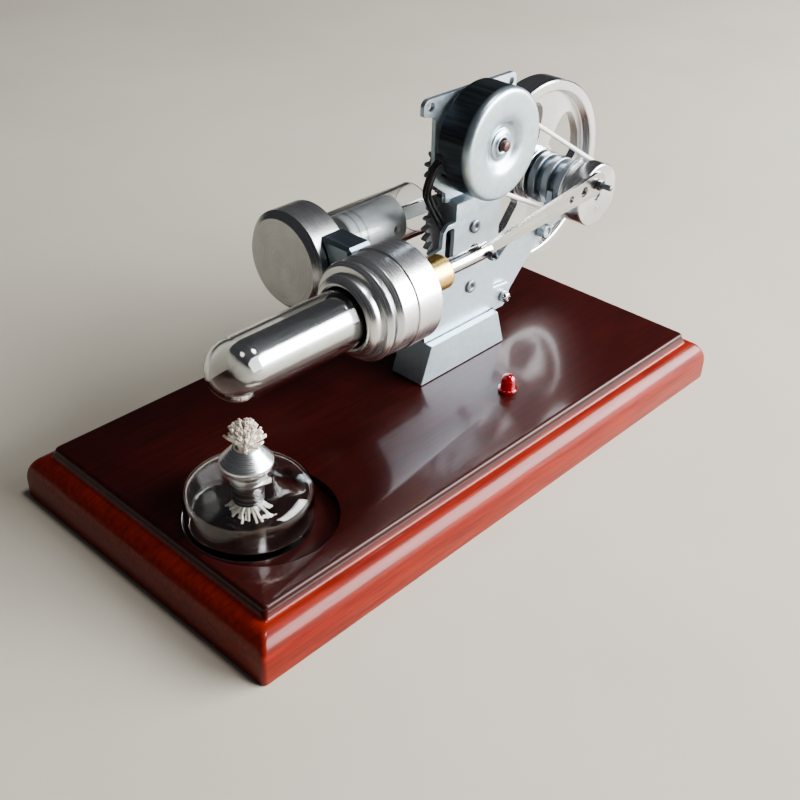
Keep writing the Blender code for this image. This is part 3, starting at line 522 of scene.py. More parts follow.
def done(obj, body, slot, mat, *nodes, edge=0.12, angle=28, segments=2):
    """Finish a piece: fine edges, material, body and the CAD nodes that it stands for."""
    if obj.type == "MESH":
        obj.data.polygons.foreach_set("use_smooth", [True] * len(obj.data.polygons))
        if edge:
            bevel = obj.modifiers.new("edges", "BEVEL")
            bevel.width = edge * MM
            bevel.segments = segments
            bevel.limit_method = "ANGLE"
            bevel.angle_limit = math.radians(angle)
            bevel.miter_outer = "MITER_ARC"
        weighted = obj.modifiers.new("normals", "WEIGHTED_NORMAL")
        weighted.keep_sharp = True
    obj.data.materials.clear()
    obj.data.materials.append(mat)
    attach(obj, body)
    if nodes:
        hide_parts(*nodes)
    return obj


def threads(radius, top, bottom, pitch=0.5, depth=0.16):
    """Profile points down a threaded shank."""
    count = max(int((top - bottom) / pitch), 1)
    points = []
    for i in range(count):
        height = top - i * pitch
        points += [(radius - depth, height), (radius, height - pitch / 2)]
    return points + [(radius - depth, top - count * pitch)]


# ---------------------------------------------------------------- base
BASE_EDGE = ([(0.5, 0.0), (0.12, 0.3), (0.0, 0.9), (0.0, 6.4)]
             + [(5.6 * (1 - math.cos(a)), 6.4 + 8.3 * math.sin(a))
                for a in (math.radians(9 * i) for i in range(1, 11))]
             + [(6.0, 14.75), (6.25, 14.95), (6.5, 15.4), (6.75, 16.2), (7.05, 16.8), (7.2, 17.1),
                (7.25, 17.6), (7.45, 18.1), (7.8, 18.4), (8.3, 18.5)])
RECESS = (-76.0, -19.2, 22.3, 3.0)  # x, y, radius, depth
FOOT_SCREW_X = (15.0, 39.0)


def rounded_rectangle(inset, radius, count=5):
    half_x, half_y = 108 - inset, 56 - inset
    loop = []
    for sx, sy, start in ((1, 1, 0), (-1, 1, 90), (-1, -1, 180), (1, -1, 270)):
        for i in range(count + 1):
            a = math.radians(start + 90 * i / count)
            loop.append((sx * (half_x - radius) + radius * math.cos(a),
                         sy * (half_y - radius) + radius * math.sin(a)))
    return loop


def make_base():
    bm = bmesh.new()
    loops = []
    for inset, height in BASE_EDGE:
        loops.append([bm.verts.new((x * MM, y * MM, height * MM))
                      for x, y in rounded_rectangle(inset, 1.4)])
    count = len(loops[0])
    for first, second in zip(loops, loops[1:]):
        for i in range(count):
            j = (i + 1) % count
            bm.faces.new((first[i], first[j], second[j], second[i]))
    bm.faces.new(list(reversed(loops[0])))
    bm.faces.new(loops[-1])
    base = from_bmesh("base_board", bm)
    x, y, radius, depth = RECESS
    recess = [(0, 4), (radius + 0.5, 4), (radius + 0.5, 0.0), (radius + 0.15, -0.12),
              (radius, -0.5), (radius, -depth + 0.6), (radius - 0.6, -depth), (0, -depth)]
    forms = [lathe("form", recess, (x, y, TOP), "z", 160),
             drill_form(2.9, -9, 5, (24.5, -28, TOP), "z"),
             drill_form(3.0, -30, 5, (15, 10.6, TOP), "z")]
    for x in FOOT_SCREW_X:
        forms += [drill_form(1.9, -5, 30, (x, 0.25, 0), "z"),
                  drill_form(4.0, -5, 4, (x, 0.25, 0), "z")]
    combine(base, forms)
    done(base, "frame", "wood", WOOD, "base", edge=0.0)
    for mod in list(base.modifiers):
        base.modifiers.remove(mod)
    base.data.set_sharp_from_angle(angle=math.radians(32))


# ---------------------------------------------------------------- lamp
LAMP = (-78.5, -17.0, TOP)


def make_lamp():
    outer = [(16.9, -2.7), (17.9, -2.45), (18.45, -1.7), (18.6, -0.6), (18.6, 3.0), (18.6, 6.8),
             (18.5, 8.1), (18.1, 9.4), (17.2, 10.5), (15.6, 11.5), (13.0, 12.5), (10.2, 13.4),
             (8.0, 14.3), (6.9, 15.4), (6.6, 16.6), (6.6, 17.6)]
    inner = [(5.3, 17.6), (5.3, 16.4), (5.8, 15.2), (7.2, 13.6), (9.8, 12.3), (12.6, 11.4),
             (15.0, 10.4), (16.4, 9.4), (17.1, 8.3), (17.3, 6.9), (17.3, 3.0), (17.3, 0.5),
             (17.0, -0.1), (16.2, -0.3)]
    profile = [(0, -2.7), *smooth_profile(outer, 4), *smooth_profile(inner, 4), (0, -0.3)]
    done(lathe("lamp_glass", profile, LAMP, "z", 128), "lamp", "glass", GLASS, "lamp_jar",
         edge=0.0)
    holder = [(2.9, 23.8), (3.6, 23.8), (3.9, 23.5), (7.4, 19.5), (7.6, 19.2), (7.6, 18.2),
              (7.3, 18.0), (4.7, 17.9), (4.7, 13.2), (4.4, 13.0), (4.4, 12.6), (4.7, 12.4),
              (4.7, 5.8), (4.5, 5.5), (3.0, 5.5), (2.7, 5.8), (2.7, 23.5)]
    done(lathe("lamp_burner", holder, LAMP, "z", 96, True), "lamp", "turned_aluminium",
         TURNED["Z"], "wick_holder", edge=0.08)
    make_wick()


def make_wick():
    """Loose strands: a tight bundle in the burner, splayed above it and inside the jar."""
    draw = random.Random(7)
    strands = []
    for number in range(96):
        angle = number * 2.39996
        share = math.sqrt((number + 0.5) / 96)
        start, spread = 2.25 * share, (1.0 + 5.0 * share) * draw.uniform(0.75, 1.08)
        top = 31.8 - 5.2 * share ** 2 * draw.uniform(0.6, 1.15) - draw.uniform(0, 1.0)
        bow = draw.uniform(0.6, 1.2)
        turn = draw.uniform(-0.25, 0.25)
        knots = [(start, 21.0, 0), (start, 24.2, 0), (start + 0.5 * (spread - start) * bow,
                 24.2 + 0.55 * (top - 24.2), turn * 0.5), (spread, top, turn)]
        strands.append([(r * math.cos(angle + t), r * math.sin(angle + t), h)
                        for r, h, t in knots])
    for number in range(60):
        angle = number * 2.39996 + 1.0
        share = math.sqrt((number + 0.5) / 60)
        start, spread = 2.1 * share, 1.0 + 7.0 * share * draw.uniform(0.6, 1.05)
        low = 0.85 + draw.uniform(0.0, 1.4) + 0.9 * (1 - share)
        droop = draw.uniform(-0.3, 0.3)
        knots = [(start, 9.0, 0), (start, 5.3, 0), (start + 0.5 * (spread - start), 3.3, droop / 2),
                 (spread * 0.9, low + 0.5, droop), (spread, low, droop)]
        strands.append([(r * math.cos(angle + t), r * math.sin(angle + t), h)
                        for r, h, t in knots])
    routes = []
    for strand in strands:
        line = smooth_line(strand, 4)
        routes.append([((p.x + LAMP[0]) * MM, (p.y + LAMP[1]) * MM, (p.z + TOP) * MM)
                       for p in line])
    obj = wire("wick_strands", routes, 0.38, resolution=2)
    done(obj, "lamp", "cotton", COTTON, "wick")


# ---------------------------------------------------------------- displacer side
HOT = (0, -15.0, AXIS)
CLEVIS_X = 21.6


def make_hot_end():
    centre, mouth, outer, inner = -78.2, -30.6, 8.8, 7.6
    arcs = [math.radians(5 * i) for i in range(1, 18)]
    inside = [(inner * math.sin(a), centre - inner * math.cos(a)) for a in arcs]
    outside = [(outer * math.sin(a), centre - outer * math.cos(a)) for a in reversed(arcs)]
    profile = [(0, centre - inner), *inside, (inner, centre), (inner, mouth), (outer, mouth),
               (outer, centre), *outside, (0, centre - outer)]
    done(lathe("hot_tube_glass", profile, HOT, "x", 128), "frame", "glass", GLASS, "hot_tube",
         edge=0.0)

    nose = smooth_profile([(6.6, -72.0), (6.6, -74.6), (6.35, -76.0), (5.7, -77.4), (4.6, -78.3),
                           (3.0, -78.9), (1.2, -79.15)], 5)
    displacer = [(0, -31.5), (6.2, -31.5), (6.6, -31.9), *nose, (0, -79.2)]
    done(lathe("displacer_can", displacer, HOT, "x", 96), "displacer_group", "polished_steel",
         DISPLACER_STEEL, "displacer", edge=0.0)
    done(lathe("displacer_shaft", [(0, -6.3), (1.5, -6.3), (1.5, -31.2), (0, -31.2)], HOT, "x",
               48), "displacer_group", "polished_steel", STEEL, "displacer_rod")

    clevis = lathe("clevis", [(0, 24), (2.3, 24), (2.6, 23.7), (2.6, -5.7), (2.3, -6), (0, -6)],
                   HOT, "x", 64)
    forms = [box_form((14, -16.3, AXIS - 5), (30, -14.5, AXIS + 5)),
             drill_form(0.9, -5, 5, (CLEVIS_X, HOT[1], AXIS))]
    done(combine(clevis, forms), "displacer_group", "polished_steel", ROD_STEEL, "rod_clevis",
         edge=0.15)
    head = [(0, -4.1), (1.1, -4.1), (1.5, -3.8), (1.5, -2.9), (0.6, -2.9), (0.6, 4.7),
            *reversed(threads(0.62, 6.0, 4.8, 0.35, 0.12)), (0, 6.0)]
    done(lathe("clevis_pin", list(reversed(head)), (CLEVIS_X, HOT[1], AXIS), "-y", 32),
         "displacer_group", "dark_steel", DARK, "clevis_screw", edge=0.0)
    make_nut("clevis_nut_hex", 1.7, 0.9, 3.0, 4.6, (CLEVIS_X, HOT[1], AXIS), "displacer_group",
             "clevis_nut")

    cooler = [(4.3, -14.8), (15.3, -14.8), (15.6, -15.1), (15.6, -24.4), (15.4, -24.6),
              (15.15, -24.7), (15.15, -30.2), (15.0, -30.5), (14.2, -32.0), (14.0, -32.2),
              (12.2, -32.4), (12.2, -34.0), (14.9, -34.2), (15.1, -34.5), (14.9, -34.9),
              (14.2, -36.0), (14.0, -36.2), (12.3, -36.4), (12.2, -37.6), (11.9, -38.6),
              (11.2, -39.5), (10.4, -40.0), (9.8, -40.1), (9.3, -39.8), (9.2, -39.4),
              (9.2, -30.3), (7.6, -30.3), (7.6, -17.5), (4.3, -17.5)]
    body = lathe("ribbed_cooler", cooler, HOT, "x", 128, True)
    combine(body, [drill_form(1.5, -16.5, -6, (-20, HOT[1], AXIS))])
    done(body, "frame", "turned_aluminium", TURNED["X"], "cooler", edge=0.15)
    gland = [(2.9, 2.2), (4.8, 2.2), (5.3, 1.95), (5.6, 1.4), (5.6, -14.4), (4.0, -14.4),
             (4.0, -17.2), (2.9, -17.2)]
    done(lathe("gland", gland, HOT, "x", 96, True), "frame", "brass", BRASS, "gland_bush",
         edge=0.1)


def make_nut(name, across, bore, low, high, place, body, node_name):
    nut = lathe(name, [(across, high), (across, low), (bore, low), (bore, high)], place, "-y", 6,
                True)
    done(nut, body, "dark_steel", DARK, node_name, edge=0.1)


# ---------------------------------------------------------------- power side
POWER = (0, 22.0, AXIS)
WRIST_X = 13.0
CRANK_X = 84.3
CRANK_ANGLE = math.radians(120)
THROW, POWER_THROW = 6.3, 5.5


def crank_point(angle, throw):
    return CRANK_X + throw * math.cos(angle), AXIS + throw * math.sin(angle)


def make_power_end():
    cap = [(0, -25.0), (9.5, -25.0), (9.5, -16.0), (14.6, -16.0), (16.0, -16.6), (16.0, -27.4),
           (13.9, -29.5), (0, -29.5)]
    body = lathe("cylinder_head", cap, POWER, "x", 128)
    combine(body, [drill_form(1.5, 8, 20, (-20, POWER[1], AXIS))])
    done(body, "frame", "turned_aluminium", HEAD, "power_end_cap", edge=0.15)
    done(lathe("power_cylinder_glass", [(9.15, 28.8), (9.15, -24.6), (7.95, -24.6), (7.95, 28.8),
                                        (8.2, 29.0), (8.9, 29.0)], POWER, "x", 128, True),
         "frame", "glass", GLASS, "power_tube", edge=0.0)
    piston = [(0, 4.0), (5.4, 4.0), (5.4, 18.0), (7.2, 18.0), (7.6, 17.6), (7.6, 0.6),
              (6.9, 0.4), (6.9, -0.8), (7.6, -1.0), (7.6, -2.4), (6.9, -2.6), (6.9, -3.8),
              (7.6, -4.0), (7.6, -5.7), (7.2, -6.2), (0, -6.2)]
    body = lathe("piston", piston, POWER, "x", 96)
    combine(body, [drill_form(1.3, -12, 12, (WRIST_X, POWER[1], AXIS))])
    done(body, "piston_group", "turned_aluminium", FROSTED, "power_piston", edge=0.1)
    done(lathe("wrist_pin_rod", [(0, 7), (1, 7), (1, -7), (0, -7)], (WRIST_X, POWER[1], AXIS),
               "-y", 32), "piston_group", "polished_steel", STEEL, "wrist_pin")

    crank = crank_point(CRANK_ANGLE + math.pi / 2, POWER_THROW)
    rod = flat_rod("power_link_bar", (WRIST_X, AXIS), crank, 2.4, 2.6, (21.3, 22.7), 1.3, 1.3, ())
    done(rod, "power_link", "polished_steel", ROD_STEEL, "power_con_rod", edge=0.25)
    screw = [(0, 1.3), *threads(1.0, 1.3, -0.9, 0.4, 0.12), (1.0, -1.0), (2.0, -1.0),
             (2.0, -1.9), (1.7, -2.2), (0.8, -2.2), (0.7, -1.6), (0, -1.6)]
    done(lathe("power_screw", screw, (crank[0], POWER[1], crank[1]), "-y", 40), "power_link",
         "dark_steel", DARK, "power_crank_screw", edge=0.05)


def flat_rod(name, small, big, small_r, big_r, y_range, small_hole, big_hole, extra):
    small, big = Vector(small), Vector(big)
    along = (big - small).normalized()
    heading = math.atan2(along.y, along.x)
    outline = []
    for centre, radius, start in ((big, big_r, -90), (small, small_r, 90)):
        for step in range(25):
            angle = heading + math.radians(start + 7.5 * step)
            outline.append((centre.x + radius * math.cos(angle),
                            centre.y + radius * math.sin(angle)))
    holes = [outline_circle(small, small_hole), outline_circle(big, big_hole)]
    holes += [outline_circle(small.lerp(big, share), radius) for share, radius in extra]
    return plate(name, [outline, *holes], y_range)


def make_crank():
    crank = crank_point(CRANK_ANGLE, THROW)
    rod = flat_rod("displacer_link_bar", (CLEVIS_X, AXIS), crank, 1.6, 4.2, (-16.0, -14.8), 1.0,
                   1.3, ((0.75, 1.4), (0.875, 1.8)))
    done(rod, "displacer_link", "polished_steel", ROD_STEEL, "displacer_con_rod", edge=0.25)
    place = (crank[0], HOT[1], crank[1])
    screw = [(0, 6.6), (0.7, 6.6), *threads(1.0, 6.4, -0.1, 0.45, 0.14), (0.86, -0.2), (0, -0.2)]
    done(lathe("crank_stud", screw, place, "-y", 40), "displacer_link", "dark_steel", DULL,
         "crank_screw", edge=0.0)
    make_nut("crank_nut_hex", 1.9, 1.3, 1.3, 2.9, place, "displacer_link", "crank_nut")

    hub = (CRANK_X, 0, AXIS)
    shaft = [(0, 14.2), (1.3, 14.2), (1.5, 14.0), (1.5, -20.0), (1.3, -20.2), (0, -20.2)]
    done(lathe("main_shaft", shaft, hub, "-y", 48), "crank_group", "polished_steel", STEEL,
         "crankshaft", edge=0.0)
    wheel = [(1.8, 14.5), (10.6, 14.5), (11.0, 14.1), (11.0, 9.3), (10.7, 9.1), (9.25, 9.0),
             (9.25, 6.9), (10.6, 6.4), (10.8, 6.1), (10.8, 5.5), (4, 5.2), (1.8, 5.2)]
    body = lathe("crank_disc", wheel, hub, "-y", 128, True)
    combine(body, [drill_form(1.3, 12, 20, (crank[0], 0, crank[1])),
                   drill_form(1.0, 12.4, 20, (CRANK_X + 0.2, 0, AXIS - 4.4))])
    done(body, "crank_group", "turned_aluminium", TURNED["Y"], "crank_wheel", edge=0.12)

    wheel = [(1.8, -10.6), (9.2, -10.6), (9.5, -10.9), (9.5, -13.2), (9.8, -13.4), (29.0, -13.4),
             (29.4, -13.1), (29.8, -10.3), (30.2, -10), (33.0, -10), (33.5, -10.5),
             (33.5, -19.0), (33.0, -19.5), (30.2, -19.5), (29.8, -19.2), (29.4, -16.9),
             (29.0, -16.6), (9.8, -16.6), (9.5, -16.8), (9.5, -19.5), (9.2, -19.8), (1.8, -19.8)]
    body = lathe("fly_wheel", wheel, hub, "-y", 160, True)
    forms = [window_form(math.radians(23.5 + 90 * number)) for number in range(4)]
    crank = crank_point(CRANK_ANGLE + math.pi / 2, POWER_THROW)
    forms.append(drill_form(1.3, -25, -18, (crank[0], 0, crank[1])))
    combine(body, forms)
    done(body, "crank_group", "turned_aluminium", TURNED["Y"], "flywheel", edge=0.18)


def window_form(middle):
    """A curved window of the flywheel's web, with rounded corners."""
    half = math.radians(28.5)
    corners = []
    for radius, sign, rounding in ((26.5, 1, 5.0), (11.4, -1, 2.4)):
        reach = half - 1.2 * rounding / radius
        for step in (-half, *(reach * (i / 10 - 1) for i in range(21)), half):
            spoke = middle + sign * step
            corners.append((CRANK_X + radius * math.cos(spoke), AXIS + radius * math.sin(spoke),
                            rounding if abs(step) == half else 0))
    return plate("form", [rounded(corners)], (0, 30))


def make_bearings():
    hub = (CRANK_X, 0, AXIS)
    housing = [(4.3, 4.8), (8.6, 4.8), (9.0, 4.4), (9.0, 2.3), (8.6, 1.9), (6.6, 1.9),
               (6.6, -1.0), (8.6, -1.0), (9.0, -1.4), (9.0, -3.6), (8.6, -4.0), (6.6, -4.0),
               (6.6, -6.4), (8.6, -6.4), (9.0, -6.8), (9.0, -9.0), (8.6, -9.4), (4.3, -9.4),
               (4.3, -6.8), (2.6, -6.8), (2.6, 2.2), (4.3, 2.2)]
    done(lathe("shaft_housing", housing, hub, "-y", 128, True), "frame", "zinc_plate", HOUSING,
         "bearing_housing", edge=0.12)
    for side, low, high in (("front", 2.5, 4.8), ("rear", -9.4, -7.1)):
        ring = [(1.8, high), (2.4, high), (2.5, high - 0.3), (3.3, high - 0.3), (3.4, high),
                (4.0, high), (4.0, low), (3.4, low), (3.3, low + 0.3), (2.5, low + 0.3),
                (2.4, low), (1.8, low)]
        done(lathe(f"ball_race_{side}", ring, hub, "-y", 64, True), "frame", "polished_steel",
             STEEL, f"{side}_bearing", edge=0.0)


# ---------------------------------------------------------------- bracket
UPPER_RIVET, LOWER_RIVET = (31.1, TOP + 48.95), (31.2, TOP + 27.2)
TAB_SCREW, ARM_SCREW = (50.0, TOP + 16.6), (71.0, TOP + 34.5)
COUNTER = (23.9, TOP + 69.15)
GEN = (29.1, TOP + 79.3)


def raised(corners):
    return rounded([(x, TOP + z, r) for x, z, r in corners])


def joggle_form():
    """The sloping fold between the two levels of the bracket plate."""
    form = box_form((-6.5, -2.15, -1), (6.5, 2.15, 1))
    tilt = Matrix.Rotation(math.radians(16), 4, "X")
    form.data.transform(Matrix.Translation(Vector((28, -1.25, TOP + 59)) * MM) @ tilt)
    return form


def make_bracket():
    foot = plate("foot_wedge", [raised(((5.4, 0.3, 0), (48.8, 0.3, 0), (44.2, 13.6, 0),
                                        (9.8, 13.6, 0)))], (-6.5, 7.0))
    forms = [box_form((11.7, -3.8, TOP + 5.5), (42.3, -1.7, TOP + 20))]
    forms += [drill_form(1.8, TOP - 2, 24.5, (x, 0.25, 0), "z") for x in FOOT_SCREW_X]
    done(combine(foot, forms), "frame", "zinc_plate", ZINC, "foot_block", edge=0.25)

    lower = ((-13.9, 20, 1), (9.0, 16, 0), (9.6, 14, 0), (12, 14, 0), (12, 5.8, 0),
             (42, 5.8, 0), (42, 14, 0), (44.9, 14, 0), (45.3, 12.5, 0), (50.5, 12.4, 1),
             (53.4, 14.6, 1), (53.4, 20.6, 0.6), (44, 21.4, 0.6), (44, 54.5, 0), (36, 58.9, 0),
             (21.5, 58.9, 0.4), (21.7, 53.3, 0.5), (17.8, 53.2, 1.6), (15.8, 51.2, 1),
             (15.4, 46, 0), (-13.9, 40, 1))
    slot = raised(((17.0, 38.5, 1.4), (21.2, 38.5, 1.4), (21.2, 51.6, 1.4), (17.0, 51.6, 1.4)))
    holes = [outline_circle(UPPER_RIVET, 1.8), outline_circle(LOWER_RIVET, 1.8),
             outline_circle(TAB_SCREW, 1.3), slot]
    body = plate("bracket_sheet", [raised(lower), *holes], (-3.5, -2.0))
    upper = ((13.2, 67, 0.5), (19.2, 62.6, 0.6), (19.4, 59.4, 0), (44, 59.4, 0),
             (46.2, 62, 0.8), (46.2, 84, 2), (50.2, 88.4, 0.8), (50.2, 94.3, 2.2),
             (7.1, 94.4, 2.2), (7.1, 89.6, 0.6), (12.5, 88.3, 1))
    holes = [outline_circle((x, TOP + z), 1.4) for x, z in ((10.4, 91.9), (47.6, 91.4))]
    holes += [outline_circle(GEN, 2.2), outline_circle(COUNTER, 1.8)]
    forms = [plate("form", [raised(upper), *holes], (-0.5, 1.0)),
             joggle_form(), box_form((-14.4, -3.4, TOP + 20.1), (-12.9, 12.4, TOP + 53))]
    combine(body, forms, "UNION")
    combine(body, [drill_form(1.4, -17, -11, (0, 5, TOP + h), "x") for h in BLOCK_SCREWS])
    done(body, "frame", "zinc_plate", ZINC, "bracket_plate", edge=0.22, angle=40)

    arm = ((75.8, 42.4, 0), (66.0, 38.2, 6), (56.0, 37.2, 6), (47.5, 30.5, 3), (34, 26, 2),
           (34, 14.4, 2), (54.5, 14.4, 2), (63.2, 23.8, 6), (72.5, 31.8, 6), (82, 34.6, 4),
           (92.8, 39.8, 0))
    outline = [(92.8, AXIS - 0.5)]
    outline += [(CRANK_X + 6.9 * math.cos(a), AXIS + 6.9 * math.sin(a))
                for a in (math.radians(-4 - 172 / 40 * i) for i in range(41))]
    outline += [(75.8, AXIS - 0.5), *raised(arm)]
    body = plate("arm_sheet", [outline, outline_circle(TAB_SCREW, 1.3),
                               outline_circle(ARM_SCREW, 1.3)], (-1.6, 0.7))
    done(body, "frame", "zinc_plate", ZINC, "bearing_arm", edge=0.25, angle=40)


BLOCK_SCREWS = (42.5, 50.5)


def make_link_block():
    body = box_form((-24.6, -2.1, TOP + 36.1), (-15, 12.6, TOP + 58.5))
    body.name = "link_bridge"
    chamfer = body.modifiers.new("chamfer", "BEVEL")
    chamfer.width, chamfer.segments = 0.9 * MM, 1
    forms = [drill_form(16.0, -60, 20, HOT, "x", 160),
             drill_form(16.4, -60, -15.7, POWER, "x", 160),
             drill_form(9.45, -60, 20, POWER, "x", 120), drill_form(1.5, -20, 20, (-20, 0, AXIS))]
    forms += [drill_form(1.3, -21, 0, (0, 5, TOP + h), "x") for h in BLOCK_SCREWS]
    done(combine(body, forms), "frame", "turned_aluminium", MILLED, "link_block", edge=0.12)
    for side, height in zip(("lower", "upper"), BLOCK_SCREWS):
        screw = [(0, -11.1), (1.8, -11.3), (2.2, -12.1), (2.2, -12.6), (1.0, -12.6),
                 (1.0, -20.5), (0, -20.5)]
        body = lathe(f"bridge_screw_{side}", screw, (0, 5, TOP + height), "x", 48)
        forms = [box_form((-11.9, 3.5, TOP + height - 0.25), (-10.7, 6.5, TOP + height + 0.25)),
                 box_form((-11.9, 4.75, TOP + height - 1.5), (-10.7, 5.25, TOP + height + 1.5))]
        done(combine(body, forms), "frame", "polished_steel", STEEL, f"block_screw_{side}",
             edge=0.06)


def cross_forms(x, z, front, depth=0.9, reach=1.25, wide=0.28):
    """Cutters of a cross recess in a screw head that faces -Y."""
    return [box_form((x - reach, front - 1, z - wide), (x + reach, front + depth, z + wide)),
            box_form((x - wide, front - 1, z - reach), (x + wide, front + depth, z + reach))]


def make_fasteners():
    x, z = TAB_SCREW
    head = smooth_profile([(0.6, 6.1), (1.2, 5.95), (1.7, 5.6), (1.98, 5.1)], 4)
    body = lathe("tab_screw_pan", [(0, 6.1), *head, (2.0, 3.8), (1.0, 3.8), (1.0, -2.4),
                                   (0, -2.4)], (x, 0, z), "-y", 64)
    done(combine(body, cross_forms(x, z, -6.1)), "frame", "polished_steel", STEEL, "tab_screw",
         edge=0.06)
    x, z = ARM_SCREW
    pillar = [(0, 4.4), (1.3, 4.4), (1.5, 5.0), (2.2, 5.0), (2.5, 4.7), (2.5, 1.9), (1.0, 1.9),
              (1.0, -3.0), (0, -3.0)]
    done(lathe("arm_pillar", pillar, (x, 0, z), "-y", 64), "frame", "zinc_plate", ZINC,
         "arm_screw", edge=0.08)
    nut = lathe("arm_nut_hex", [(2.2, -1.0), (2.2, -2.6), (1.3, -2.6), (1.3, -1.0)], (x, 0, z),
                "-y", 6, True)
    done(nut, "frame", "polished_steel", STEEL, "arm_nut", edge=0.15)
    for name, place, tail, cad in (("upper", UPPER_RIVET, -7.4, "idler_stub"),
                                   ("lower", LOWER_RIVET, 1.2, "lower_rivet")):
        rivet = [(0, 3.5), (0.6, 3.5), (0.7, 4.1), (0.95, 4.4), (1.9, 4.4), (2.2, 4.25),
                 (2.3, 4.05), (2.3, 3.8), (1.5, 3.8), (1.5, tail), (0, tail)]
        done(lathe(f"rivet_{name}", rivet, (place[0], 0, place[1]), "-y", 64), "frame",
             "polished_steel", DULL, cad, edge=0.0)
    clip = [(2.6, -6.7), (2.6, -7.2), (1.8, -7.2), (1.8, -6.7)]
    done(lathe("idler_ring", clip, (UPPER_RIVET[0], 0, UPPER_RIVET[1]), "-y", 48, True), "frame",
         "polished_steel", STEEL, "idler_clip", edge=0.05)
    stub = [(0, 0.3), (1.5, 0.3), (1.5, -6.6), (2.6, -6.6), (2.6, -7.0), (2.3, -7.3), (0, -7.3)]
    done(lathe("counter_pin", stub, (COUNTER[0], 0, COUNTER[1]), "-y", 48), "frame",
         "polished_steel", STEEL, "counter_stub", edge=0.05)


# ---------------------------------------------------------------- generator
BELT_R = 0.75
CRANK_GROOVE, GEN_GROOVE = (-8.0, 10.3), (-2.45, 13.0)     # y and radius of the belt


def rim_form(start, end):
    """A stretch of the back of the generator can's rim, between two angles in degrees."""
    angles = [math.radians(start + (end - start) * i / 24) for i in range(25)]
    outline = [(GEN[0] + radius * math.cos(a), GEN[1] + radius * math.sin(a))
               for radius, row in ((19, angles), (16.2, angles[::-1])) for a in row]
    return plate("form", [outline], (-4.9, -1))


def make_generator():
    place = (GEN[0], 0, GEN[1])
    front = smooth_profile([(5.2, 12.35), (6.2, 12.7), (7.4, 13.5), (8.8, 14.15), (10.4, 14.4),
                            (13.0, 14.5), (15.6, 14.48), (16.6, 14.2), (17.15, 13.6),
                            (17.38, 12.8), (17.4, 11.8)], 4)
    can = [(2.1, 13.5), (2.8, 13.5), (2.9, 13.4), (2.9, 13.05), (4.4, 13.0), (4.6, 12.85),
           (4.7, 12.45), *front, (17.4, 2.6), (17.2, 2.3), (16.9, 2.2), (16.4, 2.2),
           (16.4, 12.4), (15.4, 13.2), (9.2, 13.0), (6.6, 11.9), (4.6, 11.7), (2.1, 11.7)]
    body = lathe("can", can, place, "-y", 160, True)
    combine(body, [rim_form(-97, 36), rim_form(183, 211)])
    done(body, "frame", "generator_steel", CAN, "generator_can", edge=0.0)
    shaft = [(0, 15.2), (1.45, 15.2), (1.7, 14.95), (1.7, 11.5), (1.0, 11.5), (1.0, -4.8),
             (0, -4.8)]
    done(lathe("armature_shaft", shaft, place, "-y", 48), "generator_group", "polished_steel",
         RUST, "generator_shaft", edge=0.0)
    belt_h = -GEN_GROOVE[0]
    pulley = [(1.3, 4.2), (13.1, 4.2), (13.3, 4.0), (11.95, 3.6), (11.95, belt_h - 0.9),
              (13.3, 1.3), (13.3, 0.8), (1.3, 0.8)]
    done(lathe("drive_pulley", pulley, place, "-y", 128, True), "generator_group",
         "grey_plastic", PLASTIC, "generator_pulley", edge=0.05)


def gear(centre, teeth, module, phase):
    """Teeth with rounded tips and roots."""
    pitch_radius = teeth * module / 2
    root, tip = pitch_radius - 1.1 * module, pitch_radius + 0.75 * module
    flank = ((root, -0.33), (pitch_radius, -0.21), (tip - 0.08 * module, -0.11), (tip, -0.07),
             (tip, 0.07), (tip - 0.08 * module, 0.11), (pitch_radius, 0.21), (root, 0.33))
    outline = []
    for tooth in range(teeth):
        middle = phase + tooth * 2 * math.pi / teeth
        for radius, share in flank:
            angle = middle + share * 2 * math.pi / teeth
            outline.append((centre[0] + radius * math.cos(angle),
                            centre[1] + radius * math.sin(angle)))
    return outline


def mesh_phase(first, second, first_teeth, first_phase, second_teeth):
    line = math.atan2(second[1] - first[1], second[0] - first[0])
    share = (line - first_phase) * first_teeth / (2 * math.pi)
    return line + math.pi + (share % 1 - 0.5) * 2 * math.pi / second_teeth


def make_gears():
    wheel_phase = mesh_phase(GEN, COUNTER, 10, 0, 28)
    idler_phase = mesh_phase(COUNTER, UPPER_RIVET, 13, 0, 26)
    done(plate("pinion", [gear(GEN, 10, 0.6, 0), outline_circle(GEN, 1.3)], (1.6, 3.6)),
         "generator_group", "polished_steel", STEEL, "generator_pinion", edge=0.06, angle=50)
    wheel = plate("counter_wheel", [gear(COUNTER, 28, 0.6, wheel_phase),
                                    outline_circle(COUNTER, 1.8)], (1.6, 3.6))
    small = plate("form", [gear(COUNTER, 13, 1.1, 0), outline_circle(COUNTER, 1.8)], (3.4, 6.3))
    done(combine(wheel, [small], "UNION"), "counter_group", "grey_plastic", PLASTIC,
         "counter_gear", edge=0.08, angle=50)
    idler = plate("idler_wheel", [gear(UPPER_RIVET, 26, 1.1, idler_phase),
                                  outline_circle(UPPER_RIVET, 1.8)], (3.9, 6.3))
    done(idler, "idler_group", "grey_plastic", PLASTIC, "idler_gear", edge=0.1, angle=50)


